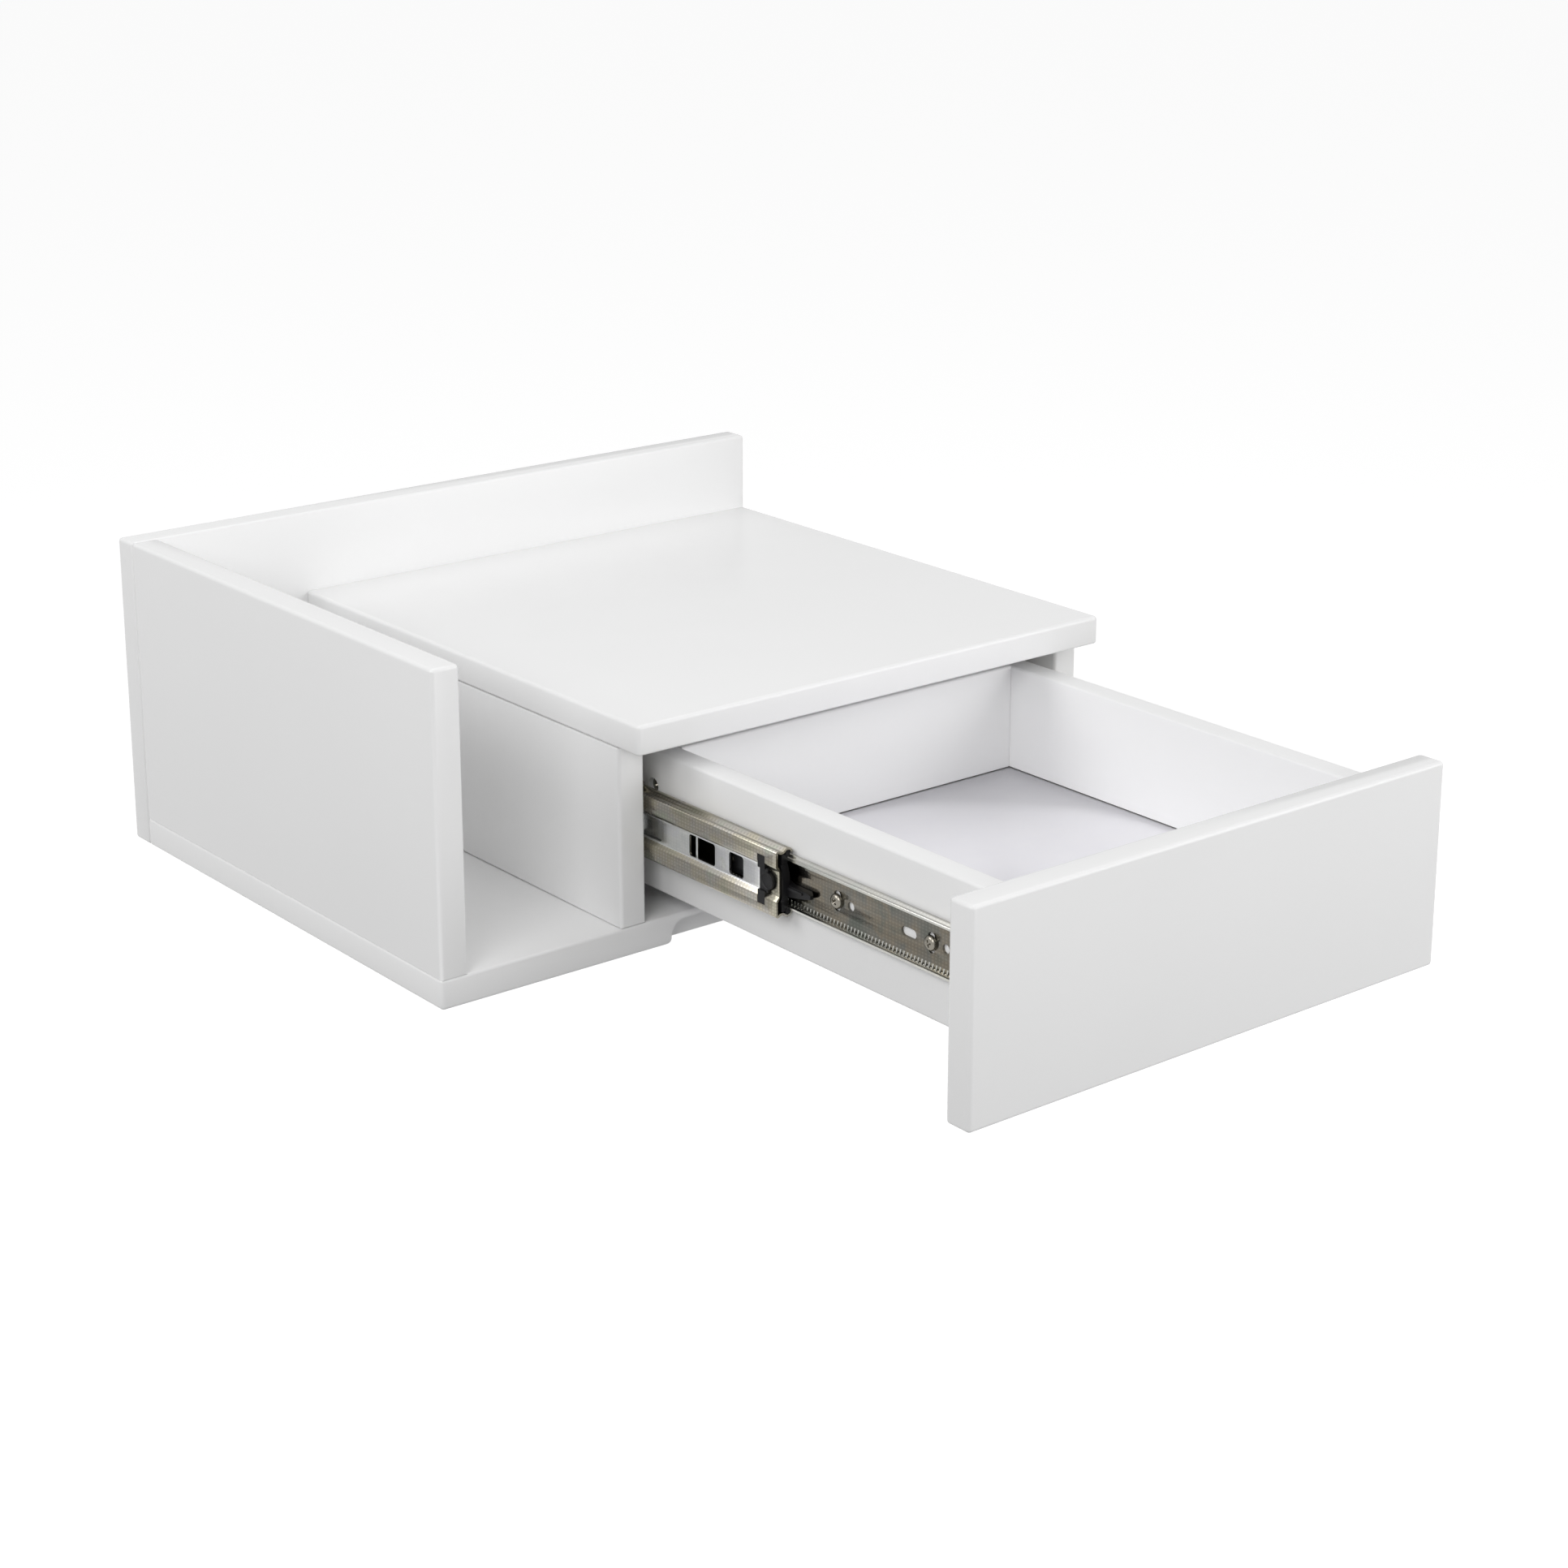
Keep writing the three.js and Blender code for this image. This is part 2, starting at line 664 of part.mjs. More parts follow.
const boxDowelCentre = boxFront - boxDowelInFront + dowelLength / 2;
const boxScrewRow = boxRear - drawerBoard / 2;
const boxScrewLevels = [
  ['upper', runnerLevel + boxScrewOffset],
  ['lower', runnerLevel - boxScrewOffset],
];

function boxDowelPoints(x) {
  return boxDowelHeights.map((height) => new THREE.Vector3(x, boxDowelCentre, boxLow + height));
}

function boxDowelHoles(x) {
  return boxDowelPoints(x).map((p) => dowelHole(boxDowelRadius, dowelLength, p, towardWall));
}

function boxScrewPoints(face) {
  return boxScrewLevels.map(([, z]) => new THREE.Vector3(face, boxScrewRow, z));
}

// The screw's head is sunk into the side, whose outer face looks along outward.
function boxScrewHoles(face, outward) {
  return boxScrewPoints(face).map((point) => {
    const seat = point.clone().addScaledVector(outward, -boxScrewSink);
    return flatHole(boxScrew, seat, outward, boxScrewSink);
  });
}

function drawerFront() {
  const y = [boxFront - frontThickness, boxFront];
  const z = [low, topUnderside - frontTopGap];
  const solid = board([dividerLeft, right], y, z, edgeRadius);
  const dowels = [boxLeft + drawerBoard / 2, boxRight - drawerBoard / 2].flatMap(boxDowelHoles);
  return meshFrom('drawer_front', drilled(solid, [floorGroove(), ...dowels]), lacquer);
}

function drawerSide(runner) {
  const { side, boxFace: face, outward } = runner;
  const inner = face - outward.x * drawerBoard;
  const x = [Math.min(face, inner), Math.max(face, inner)];
  const butts = { y: [true, false] };
  const solid = board(x, [boxFront, boxSideRear], [boxLow, boxHigh], drawerEdgeRadius, butts);
  const dowels = boxDowelHoles((face + inner) / 2);
  const screws = boxScrewHoles(face, outward);
  const rail = railScrewPoints(runner).map((point) => shankHole(railScrew, point, outward));
  const cut = drilled(solid, [floorGroove(), ...dowels, ...screws, ...rail]);
  return meshFrom(`drawer_${side}_side`, cut, drawerLacquer);
}

function drawerBack() {
  const x = [boxLeft + drawerBoard, boxRight - drawerBoard];
  const y = [boxRear - drawerBoard, boxRear];
  const butts = { x: [true, true] };
  const solid = board(x, y, [boxLow, boxHigh], drawerEdgeRadius, butts);
  const screws = [...boxScrewHoles(boxLeft, towardLeft), ...boxScrewHoles(boxRight, towardRight)];
  return meshFrom('drawer_back', drilled(solid, [floorGroove(), ...screws]), drawerLacquer);
}

// The runners. In a rail's section the first value runs from the cabinet's
// board to the drawer's side, and the second up from the centre line.
const runners = [
  { side: 'left', cabinetFace: dividerRight, boxFace: boxLeft, turn: 1, outward: towardLeft },
  { side: 'right', cabinetFace: bayRight, boxFace: boxRight, turn: -1, outward: towardRight },
];

const outerCageDepth = railSheet + runningGap; // near face of the outer cage
const bandDepth = outerCageDepth + outerCageSheet + runningGap; // near face of the bands
const webDepth = bandDepth + webRecess; // near face of the middle rail's web
const innerCageDepth = webDepth + middleSheet + runningGap; // near face of the inner cage
const grooveReach = outerBallRadius + runningGap + middleSheet / 2;
const lipReach = innerBallRadius + runningGap + middleSheet / 2;
const bandBend = bandDepth + middleSheet / 2 + railBendRadius;

// Balls' centres, and the centre of the bend between a band and its groove.
// Each arc of the middle rail's section runs smoothly into the next.
const outerBall = new THREE.Vector2(
  outerBallInset,
  middleHeight / 2 + runningGap + outerCageSheet / 2,
);
const innerBall = new THREE.Vector2(
  outerBall.x + Math.sqrt((grooveReach + lipReach) ** 2 - innerBallDrop ** 2),
  outerBall.y - innerBallDrop,
);
const bendCentre = new THREE.Vector2(
  bandBend,
  outerBall.y - Math.sqrt((grooveReach + railBendRadius) ** 2 - (outerBall.x - bandBend) ** 2),
);

const cabinetRailLength = railLength + drawerRailSetback - cabinetRailSetback;
const middleLength = railLength - middleShortfall;
const longWindowSpan = middleLength - longWindowStart - longWindowLength - lastWindowInset;
const longWindowSpacing = longWindowSpan / (longWindowCount - 1);
const screwSpacing = (railLength - firstScrew - lastScrewInset) / (screwCount - 1);
const cabinetScrewSpacing = cabinetRailLength - cabinetFirstScrew - cabinetLastScrew;
const leverTip = firstScrew + screwSpacing + leverTipGap;
const leverPivot = leverTip + leverReach; // both from the drawer rail's front end
const middleOut = drawerPull / 2; // how far each member has moved out here
const outerCageOut = drawerPull / 4;
const innerCageOut = (drawerPull * 3) / 4;
const middleFront = carcassFront + middleSetback - middleOut;
const outerCageFront = carcassFront + outerCageSetback - outerCageOut;
const innerCageFront = carcassFront + innerCageSetback - innerCageOut;

// Turns a point of the section into a place on a runner's side of the drawer.
function onRunner(runner, depth) {
  return runner.cabinetFace + runner.turn * depth;
}

function railFrom(runner, line, thickness, front, length) {
  const outline = stripOutline(line, thickness).map(
    (point) => new THREE.Vector2(onRunner(runner, point.x), runnerLevel + point.y),
  );
  return extrudeAlongY(outline, front, front + length);
}

// A flat piece of a runner, or a cut through it: an outline seen from the side,
// in distance from a rail's front end and height above the centre line.
function sideSolid(runner, front, outline, near, far) {
  const placed = outline.map(
    (point) => new THREE.Vector2(front + point.x, runnerLevel + point.y),
  );
  const ends = [onRunner(runner, near), onRunner(runner, far)];
  return extrudeAlongX(placed, Math.min(...ends), Math.max(...ends));
}

function slotOutline(centre, length, width) {
  return roundedOutline(new THREE.Vector2(centre, 0), length, width, Math.min(length, width) / 2);
}

function cabinetRailLine() {
  const web = railSheet / 2;
  const reach = outerBallRadius + runningGap + railSheet / 2;
  const top = outerBall.y + reach;
  return mirroredLine([
    new THREE.Vector2(web, top - railSheet),
    new THREE.Vector2(web + railSheet, top),
    ...arcPoints(outerBall, reach, 90, cabinetLipAngle),
  ]);
}

function middleRailLine() {
  const web = webDepth + middleSheet / 2;
  const band = bandDepth + middleSheet / 2;
  const intoGroove = directionTo(bendCentre, outerBall);
  const intoLip = directionTo(outerBall, innerBall);
  return mirroredLine([
    new THREE.Vector2(web, webHalfHeight),
    new THREE.Vector2(band, webHalfHeight + stepHeight),
    ...arcPoints(bendCentre, railBendRadius, 180, intoGroove),
    ...arcPoints(outerBall, grooveReach, intoGroove - 180, intoLip).slice(1),
    ...arcPoints(innerBall, lipReach, intoLip + 180, lipEndAngle).slice(1),
  ]);
}

function drawerRailLine() {
  const web = runnerGap - railSheet / 2;
  const reach = innerBallRadius + runningGap + railSheet / 2;
  const shoulder = innerBall.y - reach;
  return mirroredLine([
    new THREE.Vector2(web, shoulder - railSheet * 2),
    new THREE.Vector2(web - railSheet, shoulder - railSheet / 2),
    ...arcPoints(innerBall, reach, railFootAngle, railEdgeAngle),
  ]);
}

function outerCageLine() {
  const web = outerCageDepth + outerCageSheet / 2;
  return mirroredLine([
    new THREE.Vector2(web, cageNotchHalfHeight),
    new THREE.Vector2(web, outerBall.y),
    new THREE.Vector2(outerBall.x + cageArmReach, outerBall.y),
  ]);
}

function innerCageLine() {
  const web = innerCageDepth + innerCageSheet / 2;
  return mirroredLine([
    new THREE.Vector2(web, cageNotchHalfHeight),
    new THREE.Vector2(web, innerBall.y - innerBallRadius / 2),
    innerBall,
    new THREE.Vector2(innerBall.x + cageArmReach, innerBall.y + runningGap / 2),
  ]);
}

function cabinetScrewPoints(runner) {
  return [0, cabinetScrewSpacing].map((shift) => {
    const y = cabinetRailFront + cabinetFirstScrew + shift;
    return new THREE.Vector3(onRunner(runner, railSheet), y, runnerLevel);
  });
}

function railScrewPoints(runner) {
  return [0, screwSpacing].map((shift) => {
    const y = drawerRailFront + firstScrew + shift;
    return new THREE.Vector3(onRunner(runner, runnerGap - railSheet), y, runnerLevel);
  });
}

function cabinetRail(runner) {
  const line = cabinetRailLine();
  const rail = railFrom(runner, line, railSheet, cabinetRailFront, cabinetRailLength);
  const slots = [0, cabinetScrewSpacing].map((shift) => {
    const outline = slotOutline(cabinetFirstScrew + shift, screwSlotLength, screwSlotWidth);
    return sideSolid(runner, cabinetRailFront, outline, -overrun, railSheet + overrun);
  });
  return meshFrom(`${runner.side}_cabinet_rail`, drilled(rail, slots), zincSteel);
}

// The middle rail's web has windows, and a hole in which the stop is clipped.
function middleRailCuts() {
  const cuts = [[squareWindowStart, squareWindowLength]];
  for (let i = 0; i < longWindowCount; i += 1) {
    cuts.push([longWindowStart + longWindowSpacing * i, longWindowLength]);
  }
  return cuts.map(([start, length]) => {
    const centre = new THREE.Vector2(start + length / 2, 0);
    return roundedOutline(centre, length, windowHeight, windowCornerRadius);
  });
}

function rectangle(from, to) {
  return [
    new THREE.Vector2(from[0], from[1]),
    new THREE.Vector2(to[0], from[1]),
    new THREE.Vector2(to[0], to[1]),
    new THREE.Vector2(from[0], to[1]),
  ];
}

const stopBarEnd = stopBarStart + stopBarLength;
const stopTabEnd = stopTabStart + stopTabLength;
const stopBarHalfHeight = stopHoleHalfHeight - seatGap;

// The stop's round boss, which bulges ahead of its bar. Grow widens it into a hole.
function bossOutline(grow) {
  const radius = stopBossRadius + grow;
  return [
    ...arcPoints(new THREE.Vector2(stopBossStart, 0), radius, 90, 270),
    new THREE.Vector2(stopBarEnd, -radius),
    new THREE.Vector2(stopBarEnd, radius),
  ];
}

function stopOpenings() {
  const hole = rectangle(
    [stopBarStart - seatGap, -stopHoleHalfHeight],
    [stopBarEnd + seatGap, stopHoleHalfHeight],
  );
  const tabs = [1, -1].map((turn) => rectangle(
    [stopTabStart - seatGap, turn * (stopBarHalfHeight - seatGap * 2)],
    [stopTabEnd + seatGap, turn * (stopTabOuter + seatGap)],
  ));
  return [hole, bossOutline(seatGap), ...tabs];
}

function middleRail(runner) {
  const rail = railFrom(runner, middleRailLine(), middleSheet, middleFront, middleLength);
  const cuts = [...middleRailCuts(), ...stopOpenings()].map((outline) =>
    sideSolid(runner, middleFront, outline, bandDepth - overrun, innerCageDepth),
  );
  return meshFrom(`${runner.side}_middle_rail`, drilled(rail, cuts), zincSteel);
}

function drawerRail(runner) {
  const rail = railFrom(runner, drawerRailLine(), railSheet, drawerRailFront, railLength);
  const lastScrew = railLength - lastScrewInset;
  const slots = [firstScrew, firstScrew + screwSpacing, lastScrew];
  const outlines = slots.map((centre) => slotOutline(centre, screwSlotWidth, screwSlotLength));
  outlines.push(slotOutline(levelSlot, screwSlotLength, screwSlotWidth));
  [firstScrew, firstScrew + screwSpacing].forEach((slot) => {
    const centre = new THREE.Vector2(slot - roundHoleLead, 0);
    outlines.push(discOutline(centre, roundHoleRadius, roundSides));
  });
  const near = runnerGap - railSheet - overrun;
  const cuts = outlines.map((outline) =>
    sideSolid(runner, drawerRailFront, outline, near, runnerGap + overrun),
  );
  return meshFrom(`${runner.side}_drawer_rail`, drilled(rail, cuts).add(leverRivet(runner)), zincSteel);
}

const leverFar = runnerGap - railSheet - runningGap; // the lever's face next to the web
const leverNear = leverFar - leverThickness;
const rivetHeadDepth = leverNear - runningGap - rivetHeadHeight;

// The rivet that the release lever turns on.
function leverRivet(runner) {
  const centre = new THREE.Vector2(leverPivot, 0);
  const stem = discOutline(centre, rivetRadius, roundSides);
  const head = discOutline(centre, rivetHeadRadius, roundSides);
  const seat = runnerGap - railSheet / 2;
  const shaft = sideSolid(runner, drawerRailFront, stem, rivetHeadDepth + rivetHeadHeight / 2, seat);
  const headEnd = rivetHeadDepth + rivetHeadHeight;
  return shaft.add(sideSolid(runner, drawerRailFront, head, rivetHeadDepth, headEnd));
}

// The lever, from its round end at the rivet to the tongue that a finger lifts.
function leverOutline() {
  const pivot = new THREE.Vector2(leverPivot, 0);
  const tip = new THREE.Vector2(leverTip + leverTipRadius, -leverDrop / 2);
  const neck = leverPivot - leverNeck;
  const bend = neck - leverTongue;
  return [
    ...arcPoints(pivot, leverPivotRadius, -90, 90),
    new THREE.Vector2(neck, leverPivotRadius - leverTipRadius),
    new THREE.Vector2(bend, -leverTipRadius / 2),
    ...arcPoints(tip, leverTipRadius, 90, 270),
    new THREE.Vector2(bend, -leverDrop - leverTipRadius * 2),
    new THREE.Vector2(neck, -leverPivotRadius - leverTipRadius / 2),
  ];
}

function releaseLever(runner) {
  const body = sideSolid(runner, drawerRailFront, leverOutline(), leverNear, leverFar);
  const centre = new THREE.Vector2(leverPivot, 0);
  const hole = discOutline(centre, rivetRadius + seatGap, roundSides);
  const cut = sideSolid(runner, drawerRailFront, hole, leverNear - overrun, leverFar + overrun);
  return meshFrom(`${runner.side}_release_lever`, body.subtract(cut), blackPlastic);
}

// A cage holds its balls in two arms; between them its web is open at the front.
function ballCage(runner, name, line, sheet, ball, radius, front, length, notch) {
  const strip = railFrom(runner, line, sheet, front, length);
  const from = -overrun;
  const opening = rectangle([from, -cageNotchHalfHeight], [notch, cageNotchHalfHeight]);
  const depths = [outerCageDepth - sheet, innerCageDepth + sheet * 2];
  let cage = strip.subtract(sideSolid(runner, front, opening, ...depths));
  const pitch = length / cageBallCount;
  for (let i = 0; i < cageBallCount; i += 1) {
    [1, -1].forEach((turn) => {
      const geometry = new THREE.SphereGeometry(radius, ballSides, ballRings);
      const y = front + pitch * (i + 0.5);
      geometry.translate(onRunner(runner, ball.x), y, runnerLevel + turn * ball.y);
      cage = cage.add(solidFrom(geometry));
    });
  }
  return meshFrom(`${runner.side}_${name}`, cage, zincSteel);
}

function outerBallCage(runner) {
  const notch = outerCageLength - cageBarLength;
  return ballCage(runner, 'outer_ball_cage', outerCageLine(), outerCageSheet, outerBall,
    outerBallRadius, outerCageFront, outerCageLength, notch);
}

function innerBallCage(runner) {
  return ballCage(runner, 'inner_ball_cage', innerCageLine(), innerCageSheet, innerBall,
    innerBallRadius, innerCageFront, innerCageLength, innerCageNotch);
}

// The stop: a body inside the rail's mouth with a curved nose, and through the
// web a bar with two tabs and a round boss.
function middleRailStop(runner) {
  const body = railFrom(runner, innerCageLine(), innerCageSheet, middleFront, stopBodyLength);
  const pads = [1, -1].map((turn) => {
    const centre = new THREE.Vector2(onRunner(runner, innerBall.x), runnerLevel + turn * innerBall.y);
    const outline = discOutline(centre, innerBallRadius, ballSides);
    return extrudeAlongY(outline, middleFront, middleFront + stopBodyLength);
  });
  const noseRadius = (stopNoseHalfHeight ** 2 + stopNoseReach ** 2) / (stopNoseReach * 2);
  const noseAngle = Math.asin(stopNoseHalfHeight / noseRadius) / degree;
  const noseCentre = new THREE.Vector2(noseRadius - stopNoseReach, 0);
  const nose = [
    ...arcPoints(noseCentre, noseRadius, 180 + noseAngle, 180 - noseAngle),
    new THREE.Vector2(stopBodyLength / 2, stopNoseHalfHeight),
    new THREE.Vector2(stopBodyLength / 2, -stopNoseHalfHeight),
  ];
  const plate = innerCageDepth + innerCageSheet;
  const barNear = webDepth - stopBarProud;
  const bar = rectangle([stopBarStart, -stopBarHalfHeight], [stopBarEnd, stopBarHalfHeight]);
  const tabs = [1, -1].map((turn) => rectangle(
    [stopTabStart, turn * (stopBarHalfHeight - seatGap)],
    [stopTabEnd, turn * stopTabOuter],
  ));
  const pieces = [
    ...pads,
    sideSolid(runner, middleFront, nose, innerCageDepth, plate),
    sideSolid(runner, middleFront, bar, barNear, plate),
    sideSolid(runner, middleFront, bossOutline(0), barNear, plate),
    ...tabs.map((tab) => sideSolid(runner, middleFront, tab, bandDepth, plate)),
  ];
  const solid = pieces.reduce((whole, piece) => whole.add(piece), body);
  return meshFrom(`${runner.side}_middle_rail_stop`, solid, blackPlastic);
}

function runnerPieces(runner) {
  const inward = runner.outward;
  const intoCabinet = runner.outward.clone().negate();
  const pieces = [
    cabinetRail(runner),
    middleRail(runner),
    drawerRail(runner),
    outerBallCage(runner),
    innerBallCage(runner),
    middleRailStop(runner),
    releaseLever(runner),
  ];
  cabinetScrewPoints(runner).forEach((point, i) => {
    const name = `${runner.side}_cabinet_rail_screw_${i + 1}`;
    pieces.push(panScrew(name, cabinetScrew, point, intoCabinet));
  });
  railScrewPoints(runner).forEach((point, i) => {
    const name = `${runner.side}_drawer_rail_screw_${i + 1}`;
    pieces.push(panScrew(name, railScrew, point, inward));
  });
  return pieces;
}

function cabinetScrewHoles(runner) {
  const direction = runner.outward.clone().negate();
  return cabinetScrewPoints(runner).map((point) => shankHole(cabinetScrew, point, direction));
}

function carcassFasteners() {
  const pieces = [];
  standing.forEach(([name, x]) => {
    baseScrewPoints(x).forEach((point, i) => {
      pieces.push(flatScrew(`${name}_base_screw_${i + 1}`, boardScrew, point, downward));
    });
    pieces.push(flatScrew(`${name}_back_screw`, boardScrew, backScrewPoint(x), towardWall));
  });
  standing.slice(1).forEach(([name, x]) => {
    topDowelPoints(x).forEach((point, i) => {
      pieces.push(dowel(`${name}_top_dowel_${i + 1}`, dowelRadius, dowelLength, point, upward));
    });
  });
  plateCentres.forEach(([side, x]) => {
    plateScrewPoints(x).forEach((point, i) => {
      const name = `${side}_hanger_screw_${['upper', 'lower'][i]}`;
      pieces.push(flatScrew(name, plateScrew, point, towardWall));
    });
  });
  return pieces;
}

function drawerFasteners(runner) {
  const pieces = [];
  const centre = runner.boxFace - (runner.outward.x * drawerBoard) / 2;
  boxDowelPoints(centre).forEach((point, i) => {
    const name = `${runner.side}_front_dowel_${['lower', 'upper'][i]}`;
    pieces.push(dowel(name, boxDowelRadius, dowelLength, point, towardWall));
  });
  boxScrewPoints(runner.boxFace).forEach((point, i) => {
    const seat = point.clone().addScaledVector(runner.outward, -boxScrewSink);
    const name = `${runner.side}_drawer_back_screw_${boxScrewLevels[i][0]}`;
    pieces.push(flatScrew(name, boxScrew, seat, runner.outward));
  });
  return pieces;
}

const nightstand = new THREE.Group();
nightstand.add(
  backPanel(),
  leftSidePanel(),
  bottomPanel(),
  bayPanel('divider_panel', boards.divider, standing[1][1], cabinetScrewHoles(runners[0])),
  bayPanel('right_side_panel', boards.rightSide, standing[2][1], cabinetScrewHoles(runners[1])),
  topPanel(),
  drawerFront(),
  drawerBack(),
  drawerBottom(),
  ...plateCentres.map(([side, x]) => hangerPlate(side, x)),
  ...carcassFasteners(),
);
runners.forEach((runner) => {
  nightstand.add(drawerSide(runner), ...runnerPieces(runner), ...drawerFasteners(runner));
});

export default nightstand;
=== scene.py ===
import math

import bmesh
import bpy
from mathutils import Matrix, Vector


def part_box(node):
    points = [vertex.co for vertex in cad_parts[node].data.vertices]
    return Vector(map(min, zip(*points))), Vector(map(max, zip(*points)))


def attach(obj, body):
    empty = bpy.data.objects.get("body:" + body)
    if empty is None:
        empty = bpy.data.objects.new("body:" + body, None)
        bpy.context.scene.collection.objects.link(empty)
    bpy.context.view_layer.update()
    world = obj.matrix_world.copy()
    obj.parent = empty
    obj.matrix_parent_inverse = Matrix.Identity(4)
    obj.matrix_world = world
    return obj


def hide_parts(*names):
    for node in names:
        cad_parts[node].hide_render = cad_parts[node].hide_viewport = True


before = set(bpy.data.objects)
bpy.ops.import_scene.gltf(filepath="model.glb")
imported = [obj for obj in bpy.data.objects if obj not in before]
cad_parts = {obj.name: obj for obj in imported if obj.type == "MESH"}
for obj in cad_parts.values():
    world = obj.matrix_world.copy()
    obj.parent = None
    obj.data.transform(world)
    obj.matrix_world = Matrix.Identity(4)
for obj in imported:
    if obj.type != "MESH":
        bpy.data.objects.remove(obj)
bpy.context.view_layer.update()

# Floating nightstand: a wall-hung lacquered box with a magazine slot and one
# drawer on ball-bearing runners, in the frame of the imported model. Sizes and
# places below are in millimetres; MM turns them into metres.
MM = 0.001
kept = {}

# The boards' eased edges: free ones, those of slim and wide faces, those in a
# joint, those of the drawer box; and the open joint between two boards
FREE_EDGE = 2.0
SLIM_EDGE = 1.4
WIDE_EDGE = 4.0
JOINT_EDGE = 0.45
DRAWER_EDGE = 1.5
JOINT_GAP = 0.35

# The broken edges of sheet metal, hardboard, screws and mouldings
SHEET_EDGE = 0.14
PLATE_EDGE = 0.12
CAGE_EDGE = 0.08
HARDBOARD_EDGE = 0.3
SCREW_EDGE = 0.08
STOP_EDGE = 0.2
LEVER_EDGE = 0.35
EDGE_SEGMENTS = 4
ROUND_SIDES = 32

# Below these angles, in degrees, a surface is shaded smooth
BOARD_SMOOTH = 30
METAL_SMOOTH = 35

# The finger recess under the drawer front
RECESS_ENDS = (-68.0, 170.0)
RECESS_HEIGHT = 12.0
RECESS_DEPTH = 9.0
RECESS_CORNER = 8.0
RECESS_LIP = 3.5
RECESS_OVERRUN = (5.0, 9.0)

# Screws: head radius, head height, shank radius, length, tip
BOARD_SCREW = (4.75, 4.0, 3.2, 48.0, 6.0)
BOX_SCREW = (3.5, 3.0, 2.0, 38.0, 5.0)
PLATE_SCREW = (3.2, 1.6, 1.6, 12.0, 3.0)
RAIL_SCREW = (3.6, 2.2, 1.75, 10.0, 3.0)
CABINET_SCREW = (3.4, 2.0, 1.75, 12.0, 3.0)
BOX_SCREW_SINK = 2.4
BOX_SCREW_HOLE = 0.5
SEAT_GAP = 0.2

# The cross recess: reach as a share of the head's radius, half width, depth,
# and how far its bars taper along and across
CROSS_REACH = 0.68
CROSS_HALF = 0.55
CROSS_DEPTH = 1.7
CROSS_TAPER = (0.35, 0.6)

# Dowels
TOP_DOWEL_RADIUS = 4.0
FRONT_DOWEL_RADIUS = 3.0
DOWEL_CHAMFER = 1.0

# The drawer's floor in its groove, and how near a face is to be within it
GROOVE_GAP = 0.7
GROOVE_REACH = 0.05

# Hanger plates
PLATE_CORNER = 3.0
KEYHOLE_RADIUS = 4.5
KEYHOLE_SLOT = 4.6
KEYHOLE_RISE = 9.0
POCKET = (12.0, 8.0, 25.0)

# The corner radius of a slot with round ends, as a share of its width
ROUND_END = 0.499

# The runners' sections, as depth from the cabinet's board to the drawer and
# height above the centre line
RAIL_SHEET = 1.2
MIDDLE_SHEET = 1.1
OUTER_BALL = (5.9, 17.6)
INNER_BALL = (9.512, 14.0)
OUTER_BALL_RADIUS = 1.9
INNER_BALL_RADIUS = 1.5
OUTER_CAGE_SHEET = 0.6
INNER_CAGE_SHEET = 0.5
WEB_HALF_HEIGHT = 6.3
WEB_START = 14.0
WEB_DEPTH = 4.0
WINDOWS = [(26.5, 10.8)] + [(48.0 + 42.0 * i, 20.0) for i in range(4)]
WINDOW_HEIGHT = 10.8
WINDOW_CORNER = 1.5
WINDOW_DEPTHS = (1.0, 6.5)
CAGE_RIM = 1.4
CAGE_WINDOW = 6.0
CAGE_NOTCH = (7.5, 2.0)
CAGE_WINDOW_FORM = (6.0, 1.0)
SCREW_SLOT = (10.0, 4.5)
RAIL_SLOTS = (39.0, 103.0, 231.0)
RAIL_HOLES = (29.5, 93.5)
LEVEL_SLOT = 54.0
RAIL_HOLE_RADIUS = 2.25
RAIL_SLOT_DEPTHS = (11.0, 14.5)
CABINET_SLOT_DEPTHS = (-1.0, 2.5)

# The steel's rolled grid, along and up
KNURL = (2.2, 1.6)

# The drawer rail's lips, given a lighter copy of the zinc as a painted highlight: beyond this height,
# and nearer than these depths above and below
LIP_HEIGHT = 11.0
LIP_DEPTHS = (12.2, 11.6)

# The pressed ribs along its lower fold: pitch, width, lower and upper end
RIB = (2.4, 1.3, -12.1, -9.3)
RIB_DEPTHS = (11.6, 12.5)
RIB_INSET = 1.0
RIB_LEAN = (0.6, -0.3)
RIB_TAPER = 0.6

# The rivet of the release lever: radius and height of its rings
RIVET = [(2.2, -12.6), (2.2, -8.1), (2.9, -8.1), (2.9, -7.7), (2.0, -7.35), (0.8, -7.2)]

# The stop in the middle rail's mouth, from the rail's front end
STOP_BAR = (6.9, 12.8)
STOP_TAB = (8.4, 13.5)
STOP_BOSS = (7.0, 4.1)
STOP_BAR_HALF = 5.9
STOP_TAB_END = 11.7
STOP_SLOT_CORNER = 0.3
STOP_NOSE_REACH = 1.8
STOP_NOSE_HALF = 9.0
STOP_NOSE_ROOT = 9.4
STOP_NOSE_ROUND = 0.6
STOP_FACE = 3.2
STOP_TAB_FACE = 2.5
STOP_PLATE = 5.8
STOP_LAP = 0.4
STOP_REAR = 13.0
STOP_SHOULDER = (6.0, 9.4)
STOP_PAD_RADIUS = 1.35

# The release lever, from the drawer rail's front end
LEVER_PIVOT = 176.0
LEVER_TIP = 117.5
LEVER_ARM = 150.0
LEVER_DEPTH = (8.4, 12.0)
LEVER_HEIGHTS = (-6.0, 3.8)
LEVER_EYE = 5.0
LEVER_HOLE = 2.45
LEVER_RIDGE = (123.0, 160.0)

